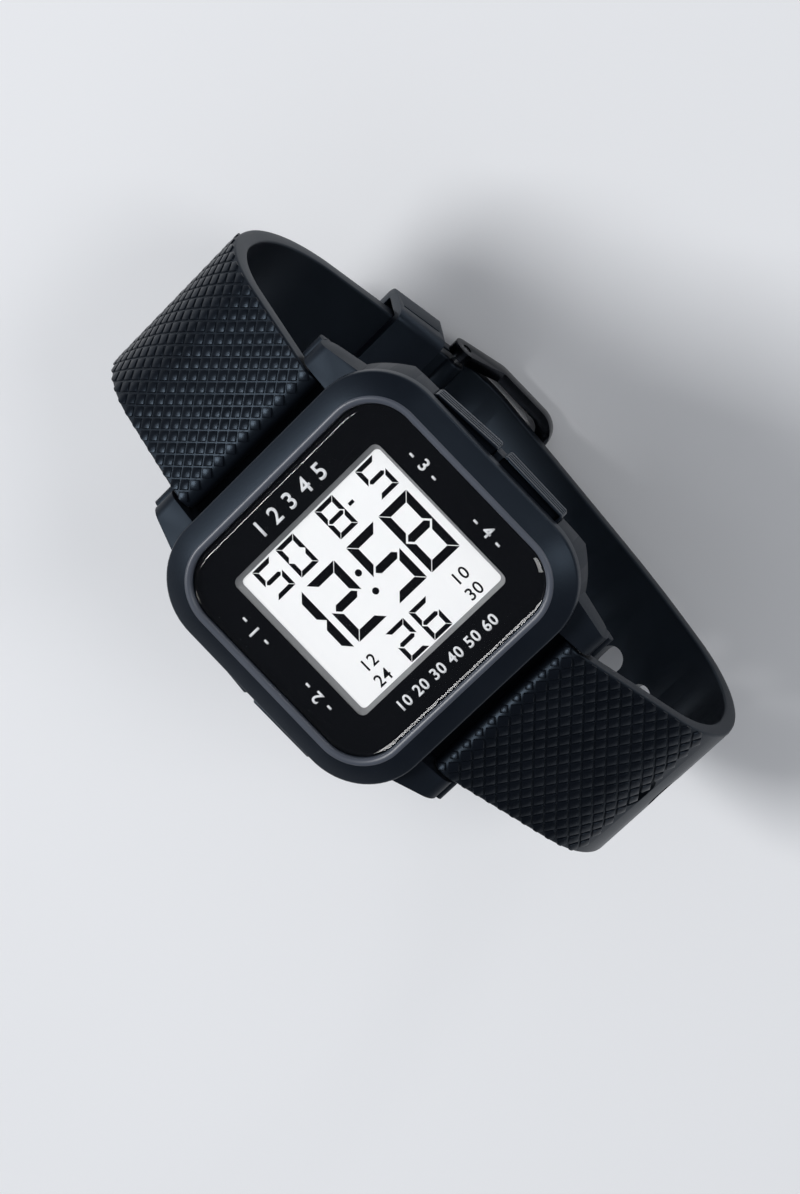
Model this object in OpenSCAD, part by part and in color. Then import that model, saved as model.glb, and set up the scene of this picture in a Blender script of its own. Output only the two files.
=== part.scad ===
// Digital wristwatch, buckled and standing face up on its strap.
// The 3 o'clock side is +X, the 12 o'clock side is +Y and the face looks up.

/* [Case] */
// Width of the case across its button sides, without the buttons
case_w = 40.7; // [40.1:0.1:44]
// Length of the case from its 12 to its 6 o'clock wall
case_l = 37.6; // [37:0.1:41]
// Corner radius of the case seen from above
case_r = 8.7; // [8:0.1:9.4]
// Height from the bezel's ridge down to the case back
case_h = 11.2; // [11:0.1:12.6]
// Inset of the case's foot from its widest outline
case_taper = 2.1; // [1.4:0.1:2.3]
// Thickness of the case's side walls, round the bay that holds the movement
side_wall = 4.6; // [4.5:0.05:5]
// Thickness of the case's walls at 12 and 6 o'clock
end_wall = 4.3; // [4.1:0.05:4.6]
// Corner radius of the bay
bay_r = 6; // [5:0.2:6.4]

/* [Lugs] */
// Distance of each spring bar from the middle of the case
bar_y = 21.5; // [21.2:0.1:22.5]
// Depth of the spring bars below the bezel's ridge
bar_z = 5.6; // [5.2:0.1:6.2]
// Radius of a lug round its spring bar
lug_r = 1.65; // [1.4:0.05:2]
// Width of a lug at its tip
lug_w = 2.9; // [2.6:0.1:3.6]
// How much wider a lug grows towards the case
lug_flare = 1.6; // [0.6:0.1:2]
// Reach of the small nose under each lug's tip
lug_nose = 0.6; // [0.4:0.1:1]

/* [Bezel and glass] */
// Height of the bezel ring
bezel_h = 2.5; // [2.45:0.05:2.9]
// Drop of the bezel's outer slope
bezel_drop = 1.25; // [0.9:0.05:1.8]
// Width of the rim that runs round the glass
chamfer_w = 0.85; // [0.6:0.05:1.2]
// How far that rim falls towards the glass
chamfer_d = 0.2; // [0.1:0.05:0.5]
// Width of the bezel's outer slope on the button sides
bezel_slope = 2.5; // [2.3:0.05:2.8]
// Width of the bezel's outer slope at 12 and 6 o'clock
bezel_end_slope = 2.5; // [2.3:0.05:2.8]
// Corner radius of the glass
glass_r = 5.4; // [4.6:0.1:6]
// Thickness of the glass
glass_t = 1.2; // [1:0.05:1.3]
// Depth of the glass's top below the bezel's ridge
glass_drop = 0.3; // [0.2:0.05:0.4]
// Width of the polished edge round the glass
glass_bevel = 0.65; // [0.3:0.05:0.9]
// Width of the glass's black border beside the display window
border_w = 4.7; // [4.5:0.05:5.2]
// Width of the glass's black border above and below the display window
border_l = 4.6; // [4.4:0.05:5]

/* [Movement] */
// Thickness of the frame between the glass's border and the display
spacer_t = 0.6; // [0.4:0.05:0.7]
// Width of that frame's sloping edge, seen inside the window
spacer_edge = 0.6; // [0.3:0.05:0.8]
// Thickness of the liquid crystal panel
lcd_t = 1.4; // [1.2:0.05:1.5]
// Thickness of the light guide
guide_t = 1; // [0.8:0.05:1.1]
// Thickness of the circuit board
board_t = 0.8; // [0.6:0.05:0.9]
// Diameter of the coin cell
cell_d = 20; // [18:0.1:20]
// Thickness of the coin cell
cell_t = 1.6; // [1.4:0.05:1.7]
// Diameter of the sounder disc
piezo_d = 16; // [13:0.5:17]

/* [Case back] */
// Thickness of the case back
back_t = 1; // [0.8:0.05:1.1]
// How far the case back laps over the case's walls
back_lap = 1.5; // [1.3:0.05:1.6]
// Radius of a case back screw's head
screw_head_r = 1.05; // [0.9:0.05:1.15]

/* [Buttons] */
// Length of a button along the side of the case
button_l = 9.25; // [8:0.05:9.6]
// Height of a button
button_h = 2.6; // [2.4:0.1:2.8]
// How far a button stands out next to the middle
button_proud = 1.2; // [0.9:0.05:1.5]
// How far the two buttons next to 12 o'clock stand out at their other end
button_far_12 = 0.5; // [0.3:0.05:1.2]
// How far the two buttons next to 6 o'clock stand out at their other end
button_far_6 = 1.1; // [0.3:0.05:1.2]
// Travel of a button
button_travel = 0.8; // [0.5:0.05:0.9]
// Depth of the button's middle below the bezel's ridge
button_z = 4.4; // [4.3:0.05:4.6]
// Radius of a button's stem
stem_r = 0.6; // [0.5:0.05:0.65]
// Width of the bridge between two buttons
bridge_w = 1; // [0.8:0.1:1.6]

/* [Strap] */
// Width of the strap
strap_w = 22; // [20:0.5:22]
// Thickness of the half that carries the buckle
buckle_half_t = 2; // [1.7:0.05:2.2]
// Thickness of the half with the adjusting holes
hole_half_t = 1.8; // [1.6:0.05:2]
// Radius of the strap's end round a spring bar
strap_end_r = 1.6; // [1.4:0.05:1.65]
// Slope of the buckle half where it leaves the case
lead_a = 28; // [24:1:32]
// Slope of the hole half where it leaves the case
lead_b = 34; // [30:1:38]
// Straight length of the buckle half next to the case
run_a = 12.3; // [11:0.1:14]
// Straight length of the hole half next to the case
run_b = 16.3; // [15:0.1:18]
// Bend radius of the buckle half's shoulder
shoulder_a = 11.4; // [11:0.2:14]
// Bend radius of the hole half's shoulder
shoulder_b = 12.8; // [12:0.1:14.5]
// Bend radius of the buckle half under its shoulder
side_a = 16.6; // [16:0.2:19]
// Bend radius of the hole half under its shoulder
side_b = 14.2; // [13.5:0.1:16]
// Short straight length between two bends of the strap
ease_run = 1; // [0.6:0.1:3]
// Slope of the straight stretch that carries the keeper
keeper_slope = 30; // [28:0.5:32]
// Slope of the hole half where it leaves the side bend
belly_slope = 25; // [23:0.5:27]
// Slope of the hole half where it reaches the buckle
reach_slope = 14; // [13:0.5:16]
// Radius of the hole half's long curve under the wrist
belly_r = 79; // [60:1:90]
// Bend radius of the hole half inside the buckle
vertex_r = 13; // [11:0.5:16]
// Straight length of the buckle half up to the buckle's pin
buckle_run = 20.3; // [19:0.1:22]
// Length of the tail past the bend inside the buckle
tail_l = 15.5; // [13:0.5:17]
// Gap between the two layers of strap
layer_gap = 0.3; // [0.2:0.05:0.5]
// Number of adjusting holes
hole_count = 14; // [10:1:16]
// Distance between adjusting holes along the strap
hole_pitch = 6.2; // [6:0.1:7]
// Length of an adjusting hole across the strap
hole_w = 4.8; // [4.6:0.1:6]
// Width of an adjusting hole along the strap
hole_l = 3.4; // [3.2:0.1:3.8]

/* [Buckle] */
// Radius of the strap's end round the buckle's pin
pin_boss_r = 1.45; // [1.3:0.05:1.6]
// Radius of the buckle's pin
pin_r = 0.6; // [0.5:0.05:0.7]
// Gap between the strap and a side rail of the buckle
rail_gap = 0.75; // [0.5:0.05:1.2]
// Width of one side rail of the buckle
rail_w = 1.45; // [1.1:0.05:1.5]
// Thickness of the buckle's rails and end bar
rail_t = 2; // [1.8:0.05:2.2]
// Distance from the pin to the middle of the end bar
buckle_l = 14.2; // [13.6:0.1:15]
// Radius of the buckle's eyes round the pin
eye_r = 1.75; // [1.5:0.05:2]
// Corner radius of the buckle seen from below
buckle_r = 3.2; // [2:0.2:4]
// Width of the tongue
tongue_w = 3; // [2.6:0.1:3.4]
// Thickness of the tongue
tongue_t = 0.8; // [0.6:0.05:0.9]
// Length of the keeper along the strap
keeper_l = 7.3; // [6:0.1:8]
// Wall of the keeper
keeper_t = 1.25; // [1:0.05:1.4]
// Distance of the keeper's middle from the buckle's pin
keeper_at = 7; // [6.6:0.1:8]

/* [Hidden] */
$fn = 48;

// Colours
resin = "#20242c";
resin_dark = "#16181d";
steel_black = "#101114";
steel = "#b8bcc2";

// Clearances
fit = 0.05;
slip = 0.2;
seat_gap = 0.05;
rim_gap = 0.1;

// Sizes that follow the case's outline
bay_w = case_w - 2 * side_wall - 0.4;
bay_l = case_l - 2 * end_wall - 0.4;
glass_w = case_w - 2 * (bezel_slope + chamfer_w + rim_gap + fit);
glass_l = case_l - 2 * (bezel_end_slope + chamfer_w + rim_gap + fit);
window_w = glass_w - 2 * border_w;
window_l = glass_l - 2 * border_l;
buckle_w = strap_w + 2 * (rail_w + rail_gap);

// Walls and levels of the case, as depths below the bezel's ridge
side_x = case_w / 2 - 0.2;
end_y = case_l / 2 - 0.2;
case_top = bezel_h;
case_foot = case_h - 0.2;
back_top = case_h - back_t;
waist_z = case_top + 3.5;
body_r = case_r - 0.2;
shelf_z = bar_z + strap_end_r + 0.35;
shelf_y = bar_y - 1;

// Stack under the glass, as depths below the bezel's ridge
seal_t = 0.25;
mask_t = 0.15;
bevel_d = 0.3;
glass_z = glass_drop + glass_t;
ledge_z = glass_z + seal_t;
spacer_z = glass_z + mask_t + seat_gap;
lcd_z = spacer_z + spacer_t + seat_gap;
guide_z = lcd_z + lcd_t + seat_gap;
deck_z = guide_z + guide_t + seat_gap;
deck_t = 0.7;
board_z = deck_z + deck_t + seat_gap;
cell_z = board_z + board_t + 0.1;
frame_foot = back_top - 0.7;
lcd_w = window_w + 1.4;
lcd_l = window_l + 1.5;
guide_l = lcd_l - 3.2;
zebra_w = 1.2;
zebra_y = lcd_l / 2 - 0.1 - zebra_w / 2;
frame_waist = bay_w / 2 - 1.9;
frame_notch = button_l;
zebra_l = lcd_w - 3.6;
contact_l = 5.2;
contact_h = 1.2;
contact_t = 0.15;
frame_w = bay_w - 2 * slip;
frame_l = bay_l - 2 * slip;
board_w = 2 * frame_waist - 1.4;
board_l = frame_l - 3.8;
cell_at = [-board_w / 2 + cell_d / 2 + 0.6, -board_l / 2 + cell_d / 2 + 0.6];
sounder_t = 0.3;
sounder_at = [3, 3];
sounder_spring_at = cell_at + (cell_d / 2 + 1.3) * [cos(50), sin(50)];
chip_r = 2;
chip_at = [board_w / 2 - chip_r - 0.3, board_l / 2 - chip_r - 0.3];
quartz_r = 1;
quartz_l = 5.6;
quartz_at = [board_w / 2 - quartz_r - 0.3, -board_l / 2 + 0.3];
clamp_w = 4.4;
clamp_t = 0.25;

// Case back and its screws
back_w = bay_w + 2 * back_lap;
back_l = bay_l + 2 * back_lap - 0.6;
screw_x = bay_w / 2 - 0.3;
screw_y = bay_l / 2 - 0.8;
screw_r = 0.48;
screw_l = 3.7;
screw_head_t = back_t / 2;
screw_slot_w = 0.24;
gasket_w = 0.5;
gasket_t = 0.5;

// Buttons, from the middle of the case outwards
pocket_floor = side_x - 2.2;
cap_back = pocket_floor + button_travel + 0.15;
spring_floor = pocket_floor - 1;
groove_x = bay_w / 2 + 0.5;
groove_l = 0.6;
seal_wire = 0.24;
stem_end = bay_w / 2 - 0.7;
rib_t = 0.3;
hollow_d = 1;
groove_d = 0.12;
clip_t = 0.3;
clip_r = 1.3;
spring_wire = 0.2;
spring_mean_r = stem_r + 0.3;
spring_turns = 3;

// Strap
strap_edge = 0.35;
lap = 0.05;
skin = 0.01;

// Spring bars
bar_r = 0.75;
bar_half = strap_w / 2 - 0.4;
tip_r = 0.42;
tip_travel = 0.9;
lug_x = strap_w / 2 + 0.35;
tip_out = lug_x + tip_travel;
collar_x = bar_half - 1.5;
collar_l = 0.5;
collar_r = 0.5;

// Headings are degrees below level, going away from the case, and a point is [outwards, up]
function along(h) = [cos(h), -sin(h)];
function outside(h) = [sin(h), cos(h)];
function bend_end(p, h, r, a) = p - r * outside(h) + r * outside(h + a);
function flip(p) = [-p[0], p[1]];
function cross2(a, b) = a[0] * b[1] - a[1] * b[0];

// Route of the buckle half, on its middle surface
bar_at = [bar_y, -bar_z];
a0 = bar_at + (strap_end_r - buckle_half_t / 2) * outside(lead_a);
a1 = a0 + run_a * along(lead_a);
a2 = bend_end(a1, lead_a, shoulder_a, 90 - lead_a);
heading_a = 180 - keeper_slope;
a3 = a2 + ease_run * along(90);
a4 = bend_end(a3, 90, side_a, heading_a - 90);
a5 = a4 + buckle_run * along(heading_a);
pin_at = a5 - (pin_boss_r - buckle_half_t / 2) * outside(heading_a);

// Route of the hole half, mirrored so that it also runs outwards
b0 = bar_at + (strap_end_r - hole_half_t / 2) * outside(lead_b);
b1 = b0 + run_b * along(lead_b);
b2 = bend_end(b1, lead_b, shoulder_b, 90 - lead_b);
heading_b = 180 - belly_slope;
b3 = b2 + ease_run * along(90);
b4 = bend_end(b3, 90, side_b, heading_b - 90) + ease_run * along(heading_b);
heading_reach = 180 - reach_slope;
b5 = bend_end(b4, heading_b, belly_r, belly_slope - reach_slope);
// The tail lies along the buckle half, one layer further out
layer = buckle_half_t / 2 + layer_gap + hole_half_t / 2;
tail_on = flip(a5 + layer * outside(heading_a));
heading_tail = 180 + keeper_slope;
vertex_turn = heading_tail - heading_reach;
reach_l = cross2(tail_on - b5, along(heading_tail)) / cross2(along(heading_reach), along(heading_tail))
    - vertex_r * tan(vertex_turn / 2);
b6 = b5 + reach_l * along(heading_reach);
b7 = bend_end(b6, heading_reach, vertex_r, vertex_turn);
b8 = b7 + tail_l * along(heading_tail);

// Distances along the hole half, for its adjusting holes
len1 = run_b;
len2 = len1 + shoulder_b * (90 - lead_b) * PI / 180;
len3 = len2 + ease_run;
len4 = len3 + side_b * (heading_b - 90) * PI / 180 + ease_run;
len5 = len4 + belly_r * (belly_slope - reach_slope) * PI / 180;
len6 = len5 + reach_l;
len7 = len6 + vertex_r * vertex_turn * PI / 180;
function bend_at(s, p, h, r) = [p - r * outside(h) + r * outside(h + s / r * 180 / PI), h + s / r * 180 / PI];
function route_b(s) =
    s < len1 ? [b0 + s * along(lead_b), lead_b]
    : s < len2 ? bend_at(s - len1, b1, lead_b, shoulder_b)
    : s < len3 ? [b2 + (s - len2) * along(90), 90]
    : s < len4 - ease_run ? bend_at(s - len3, b3, 90, side_b)
    : s < len4 ? [b4 + (s - len4) * along(heading_b), heading_b]
    : s < len5 ? bend_at(s - len4, b4, heading_b, belly_r)
    : s < len6 ? [b5 + (s - len5) * along(heading_reach), heading_reach]
    : s < len7 ? bend_at(s - len6, b6, heading_reach, vertex_r)
    : [b7 + (s - len7) * along(heading_tail), heading_tail];

// The tongue's hole is the one that the others are spaced from
tongue_hole_s = len6 + 4.2;
tongue_hole = flip(route_b(tongue_hole_s)[0]);
tail_holes = 2;

// Lowest point of the strap inside the buckle, then the buckle under it
vertex_centre = flip(b6 - vertex_r * outside(heading_reach));
strap_low = vertex_centre[1] - vertex_r - hole_half_t / 2;
tongue_mid_z = strap_low - 0.15 - tongue_t / 2;
rail_low = tongue_mid_z - tongue_t / 2 - 0.15;
rail_mid_z = rail_low + rail_t / 2;
knee_y = pin_at[0] - 4.9;
bar_end_y = pin_at[0] - buckle_l;

// Height of the bezel's ridge above the ground, and the shift that centres the watch lengthwise
stand_h = -rail_low;
reach_12 = a2[0] + buckle_half_t / 2;
reach_6 = b2[0] + hole_half_t / 2;
centre_y = (reach_6 - reach_12) / 2;

module seat() {
    translate([0, centre_y, stand_h]) children();
}

module round_rect(w, l, r) {
    square([w - 2 * r, l], center = true);
    square([w, l - 2 * r], center = true);
    for (x = [-1, 1], y = [-1, 1]) {
        translate([x * (w / 2 - r), y * (l / 2 - r)]) circle(r);
    }
}

// A rounded plate between two depths below the bezel's ridge
module plate(w, l, r, top, foot) {
    translate([0, 0, -foot]) linear_extrude(foot - top) round_rect(w, l, r);
}

// A thin slice of a rounded outline, for hulls
module slice(w, l, r, z) {
    translate([0, 0, -z]) linear_extrude(0.01) round_rect(w, l, r, $fn = 56);
}

module rod_x(r, x0, x1) {
    translate([x0, 0, 0]) rotate([0, 90, 0]) cylinder(r = r, h = x1 - x0);
}

// A coil spring on the Z axis, swept as one tube
module coil(r, wire, length, turns, steps = 8, sides = 6) {
    n = turns * steps;
    rise = (length - wire) / n;
    points = [
        for (i = [0:n], j = [0:sides - 1])
            let (t = i * 360 / steps, a = j * 360 / sides, rho = r + wire / 2 * cos(a))
                [rho * cos(t), rho * sin(t), wire / 2 + i * rise + wire / 2 * sin(a)]
    ];
    sides_of = [
        for (i = [0:n - 1], j = [0:sides - 1])
            let (k = (j + 1) % sides)
                each [
                    [i * sides + j, i * sides + k, (i + 1) * sides + k],
                    [i * sides + j, (i + 1) * sides + k, (i + 1) * sides + j]
                ]
    ];
    near_end = [for (j = [1:sides - 2]) [0, j + 1, j]];
    far_end = [for (j = [1:sides - 2]) [n * sides, n * sides + j, n * sides + j + 1]];
    echo(coil_gap = rise * steps - wire);
    polyhedron(points, concat(sides_of, near_end, far_end));
}

// A flat strip bent along a list of points, seen from the side
function strip_side(p, t, s) = [
    for (i = [0:len(p) - 1])
        let (
            back = i == 0 ? p[1] - p[0] : p[i] - p[i - 1],
            ahead = i == len(p) - 1 ? back : p[i + 1] - p[i],
            u = back / norm(back),
            v = ahead / norm(ahead),
            m = [-(u[1] + v[1]), u[0] + v[0]],
            n = m / norm(m)
        )
            p[i] + s * t / 2 / (n * [-u[1], u[0]]) * n
];

module strip(p, t) {
    far = strip_side(p, t, -1);
    polygon(concat(strip_side(p, t, 1), [for (i = [len(p) - 1:-1:0]) far[i]]));
}

// Turns a side view, drawn as [y, z], into a solid across the watch
module across(w) {
    rotate([90, 0, 90]) translate([0, 0, -w / 2]) linear_extrude(w) children();
}

module at_point(p, h) {
    translate([0, p[0], p[1]]) rotate([-h, 0, 0]) children();
}

// Cross-section of the strap with softened edges, thickness upwards
module strap_section(w, t) {
    e = strap_edge;
    polygon([
        [-w / 2, -t / 2 + e], [-w / 2 + e, -t / 2], [w / 2 - e, -t / 2], [w / 2, -t / 2 + e],
        [w / 2, t / 2 - e], [w / 2 - e, t / 2], [-w / 2 + e, t / 2], [-w / 2, t / 2 - e]
    ]);
}

// A straight length, a hair thinner than the bends that its ends lap into
module strap_run(length, t) {
    translate([0, length + lap, 0]) rotate([90, 0, 0]) linear_extrude(length + 2 * lap)
        strap_section(strap_w - 2 * skin, t - 2 * skin);
}

module strap_bend(r, a, t) {
    translate([0, 0, -r]) rotate([0, -90, 0])
        rotate_extrude(angle = a) translate([r, 0]) rotate(90) strap_section(strap_w, t);
}

// Steps are [length] for a straight and [radius, angle] for a bend, each starting where the last one ends
module strap_route(steps, t, i = 0) {
    if (i < len(steps)) {
        step = steps[i];
        if (len(step) == 1) {
            strap_run(step[0], t);
            translate([0, step[0], 0]) strap_route(steps, t, i + 1);
        } else {
            strap_bend(step[0], step[1], t);
            translate([0, 0, -step[0]]) rotate([-step[1], 0, 0]) translate([0, 0, step[0]])
                strap_route(steps, t, i + 1);
        }
    }
}

module strap_lug_end() {
    translate([0, bar_at[0], bar_at[1]]) rod_x(strap_end_r, -strap_w / 2, strap_w / 2);
}

module bar_bore() {
    translate([0, bar_at[0], bar_at[1]]) rod_x(bar_r + fit, -strap_w, strap_w);
}

module slot_cut(w, l, depth) {
    translate([0, 0, -depth / 2]) linear_extrude(depth) {
        square([w - l, l], center = true);
        for (x = [-1, 1]) translate([x * (w - l) / 2, 0]) circle(d = l);
    }
}

// Tangent from a point to a circle, touching it on the chosen side
function touch(c, r, q, s) =
    let (d = q - c, t = atan2(d[1], d[0]) + s * acos(r / norm(d)))
        c + r * [cos(t), sin(t)];

// Two circles joined by their outer tangents, as a side view
module link(c1, r1, c2, r2) {
    d = c2 - c1;
    u = atan2(d[1], d[0]);
    a = acos((r1 - r2) / norm(d));
    translate(c1) circle(r1);
    translate(c2) circle(r2);
    polygon([
        c1 + r1 * [cos(u + a), sin(u + a)], c1 + r1 * [cos(u - a), sin(u - a)],
        c2 + r2 * [cos(u - a), sin(u - a)], c2 + r2 * [cos(u + a), sin(u + a)]
    ]);
}

module lug(x, y) {
    tip = lug_x + lug_w;
    root = tip + lug_flare;
    root_y = end_y - 3;
    upper = [root_y, -case_top];
    lower = [root_y, -waist_z - 0.5];
    centre = [bar_y, -bar_z];
    scale([x, y, 1]) intersection() {
        translate([(lug_x + root) / 2, 0, 0]) across(root - lug_x) {
            translate(centre) circle(lug_r);
            polygon([touch(centre, lug_r, upper, -1), upper, lower, touch(centre, lug_r, lower, 1)]);
            translate(centre + [0.95 + lug_nose, -1]) circle(0.7);
        }
        translate([0, 0, -case_h]) linear_extrude(case_h) polygon([
            [lug_x, root_y - 1], [root, root_y - 1], [root, end_y - 1.3], [tip, bar_y + lug_r], [tip, bar_y + 4],
            [lug_x, bar_y + 4]
        ]);
    }
}

module button_side(x) {
    for (y = [-1, 1]) scale([x, y, 1]) translate([0, bridge_w / 2 + 0.1 + button_l / 2, -button_z]) children();
}

module button_bore() {
    pocket_l = button_l + 0.2;
    rod_x(stem_r + fit, 0, side_x + 1);
    rod_x(spring_mean_r + spring_wire / 2 + 0.15, spring_floor, side_x);
    rod_x(stem_r + fit + 2 * seal_wire, groove_x, groove_x + groove_l);
    translate([pocket_floor, -pocket_l / 2, -button_h / 2 - 0.1]) cube([5, pocket_l, button_h + 0.2]);
}

// Outline seen along one axis: upright walls down to the waist, then a taper to the foot
module case_profile(half) {
    foot = half - case_taper;
    polygon([
        [-half, -case_top], [-half, -waist_z], [-foot, -case_foot], [foot, -case_foot], [half, -waist_z],
        [half, -case_top]
    ]);
}

module case_body() {
    corner = (side_x + end_y - 2 * body_r) / sqrt(2) + body_r;
    difference() {
        intersection() {
            plate(2 * side_x, 2 * end_y, body_r, case_top, case_foot);
            across(case_w + 10) case_profile(end_y);
            rotate([90, 0, 0]) translate([0, 0, -case_l]) linear_extrude(2 * case_l) case_profile(side_x);
        }
        // Taper at the four corners
        for (x = [-1, 1], y = [-1, 1]) scale([x, y, 1]) rotate([0, 0, -45]) across(2 * body_r) polygon([
            [corner + 0.3, -waist_z - 0.5], [corner + 6, -waist_z - 0.5], [corner + 6, -case_h - 1],
            [corner - 2.6, -case_h - 1]
        ]);
    }
}

module case() {
    color(resin) seat() union() {
        difference() {
            union() {
                case_body();
                for (x = [-1, 1], y = [-1, 1]) lug(x, y);
            }
            plate(bay_w, bay_l, bay_r, case_top - 1, case_h);
            plate(back_w + 0.3, back_l + 0.3, 3, back_top, case_h + 1);
            plate(bay_w + 2 * gasket_w + 0.3, bay_l + 2 * gasket_w + 0.3, bay_r + gasket_w, back_top - gasket_t, case_h);
            for (x = [-1, 1]) button_side(x) button_bore();
            for (x = [-1, 1], y = [-1, 1]) {
                translate([x * screw_x, y * screw_y, -case_h]) cylinder(r = screw_r + 0.02, h = screw_l + 0.3);
                translate([0, y * bar_y, -bar_z])
                    rod_x(tip_r + fit, x > 0 ? lug_x - 1 : -tip_out - 0.3, x > 0 ? tip_out + 0.3 : -lug_x + 1);
            }
            // Room for the strap's ends between the lugs
            for (y = [-1, 1]) translate([-lug_x, y > 0 ? end_y : -end_y - 8, -case_h]) cube([2 * lug_x, 8, case_h]);
        }
        // Shelves that close that room from below
        for (y = [-1, 1]) translate([-lug_x - 0.5, y > 0 ? end_y - 2 : -shelf_y, -shelf_z - 1])
            cube([2 * lug_x + 1, shelf_y - end_y + 2, 1]);
        // Bridges between the buttons
        for (x = [-1, 1]) translate([x > 0 ? side_x - 1 : -side_x - 0.7, -bridge_w / 2, -button_z - 0.9])
            cube([1.7, bridge_w, 1.8]);
    }
}

module bezel() {
    hole_w = glass_w + 2 * fit;
    hole_l = glass_l + 2 * fit;
    hole_r = glass_r + fit;
    ridge = rim_gap + chamfer_w;
    color(resin) seat() difference() {
        hull() {
            slice(hole_w + 2 * ridge, hole_l + 2 * ridge, hole_r + ridge, 0.01);
            slice(case_w, case_l, case_r, bezel_drop);
            slice(case_w, case_l, case_r, bezel_h);
        }
        hull() {
            slice(hole_w + 2 * ridge, hole_l + 2 * ridge, hole_r + ridge, 0);
            slice(hole_w + 2 * rim_gap, hole_l + 2 * rim_gap, hole_r + rim_gap, chamfer_d);
        }
        plate(hole_w, hole_l, hole_r, -1, ledge_z);
        plate(glass_w - 2, glass_l - 2, glass_r - 1, -1, bezel_h + 1);
    }
}

module glass() {
    color([0.55, 0.6, 0.65, 0.35]) seat() hull() {
        slice(glass_w - 2 * glass_bevel, glass_l - 2 * glass_bevel, glass_r - glass_bevel, glass_drop + 0.01);
        slice(glass_w, glass_l, glass_r, glass_drop + bevel_d);
        slice(glass_w, glass_l, glass_r, glass_z);
    }
}

module glass_seal() {
    color("white") seat() difference() {
        plate(glass_w - 0.2, glass_l - 0.2, glass_r - 0.1, glass_z, ledge_z);
        plate(glass_w - 2, glass_l - 2, glass_r - 1, 0, case_h);
    }
}

module face_mask() {
    color("#0b0c0f") seat() difference() {
        plate(glass_w - 2.3, glass_l - 2.3, glass_r - 1.1, glass_z, glass_z + mask_t);
        plate(window_w, window_l, 0.9, 0, case_h);
    }
}

// Pale frame that sets the border off from the display
module window_frame() {
    color("#c9ccc9") seat() difference() {
        plate(lcd_w, lcd_l, 0.4, spacer_z, spacer_z + spacer_t);
        hull() {
            slice(window_w, window_l, 0.9, spacer_z - 0.01);
            slice(window_w - 2 * spacer_edge, window_l - 2 * spacer_edge, 0.6, spacer_z + spacer_t + 0.02);
        }
    }
}

module lcd_panel() {
    // Two plates of glass, the lower one longer so that its contact pads stay bare
    color("#cfd3cd") seat() union() {
        plate(lcd_w, lcd_l, 0.3, lcd_z + lcd_t / 2, lcd_z + lcd_t);
        plate(lcd_w, lcd_l - 2 * zebra_w, 0.3, lcd_z, lcd_z + lcd_t / 2 + 0.01);
    }
}

module light_guide() {
    color("#f4f4f0") seat() difference() {
        plate(lcd_w - 0.2, guide_l, 0.5, guide_z, guide_z + guide_t);
        translate([-lcd_w / 2 - 0.1, -1.3, -case_h]) cube([1.4, 2.6, case_h]);
    }
}

module lamp() {
    color("#fff6c8") seat() translate([-lcd_w / 2, -1, -deck_z + 0.02]) {
        cube([0.8, 2, 0.7]);
        translate([0.79, 1, 0.35]) scale([0.35, 1, 1]) sphere(r = 0.3);
    }
}

module zebra_strips() {
    color("#d9a8b0") seat() for (y = [-1, 1]) {
        translate([-zebra_l / 2, y * zebra_y - zebra_w / 2, -board_z + 0.01])
            cube([zebra_l, zebra_w, board_z - lcd_z - lcd_t - 0.02]);
    }
}

module module_frame() {
    color("#e6e4dc") seat() difference() {
        plate(frame_w, frame_l, bay_r - slip, case_top + seat_gap, frame_foot);
        plate(lcd_w + 0.2, lcd_l + 0.2, 0.4, 0, deck_z);
        plate(board_w + 0.2, board_l + 0.2, 0.6, deck_z + deck_t, case_h);
        for (x = [-1, 1]) {
            translate([x > 0 ? frame_waist : -frame_waist - 5, -frame_notch, -case_h]) cube([5, 2 * frame_notch, case_h]);
        }
        for (y = [-1, 1]) {
            translate([-zebra_l / 2 - 0.1, y * zebra_y - zebra_w / 2 - 0.1, -case_h])
                cube([zebra_l + 0.2, zebra_w + 0.2, case_h]);
        }
    }
}

module circuit_board() {
    color("#1f6b3a") seat() plate(board_w, board_l, 0.5, board_z, board_z + board_t);
}

module chip() {
    color("#101010") seat() translate([chip_at[0], chip_at[1], -board_z - board_t]) difference() {
        scale([1, 1, 0.4]) sphere(r = chip_r);
        translate([-chip_r - 1, -chip_r - 1, -0.01]) cube([2 * chip_r + 2, 2 * chip_r + 2, 3]);
    }
}

module quartz_can() {
    color(steel) seat() translate([quartz_at[0], quartz_at[1], -board_z - board_t - quartz_r - fit]) rotate([0, 0, 90]) {
        rod_x(quartz_r, 0, quartz_l);
        rod_x(quartz_r - 0.2, quartz_l - 0.01, quartz_l + 0.4);
    }
}

module button_contacts() {
    color(steel) seat() for (x = [-1, 1]) button_side(x) {
        translate([frame_waist + 0.05, -contact_l / 2, -contact_h / 2]) cube([contact_t, contact_l, contact_h]);
    }
}

module coin_cell() {
    color(steel) seat() translate([cell_at[0], cell_at[1], -cell_z - cell_t]) {
        cylinder(d = cell_d, h = cell_t * 0.8, $fn = 96);
        translate([0, 0, cell_t * 0.8 - 0.01]) cylinder(d = cell_d - 3, h = cell_t * 0.2, $fn = 96);
    }
}

module battery_clamp() {
    x0 = -board_w / 2 + 0.2;
    z0 = -cell_z - cell_t - 0.05;
    color(steel) seat() translate([0, cell_at[1] - clamp_w / 2, z0 - clamp_t]) {
        translate([x0, 0, 0]) cube([board_w - 0.4, clamp_w, clamp_t]);
        for (x = [x0, -x0 - clamp_t]) {
            translate([x, 0, 0]) cube([clamp_t, clamp_w, clamp_t + cell_t + 0.05]);
        }
    }
}

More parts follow.
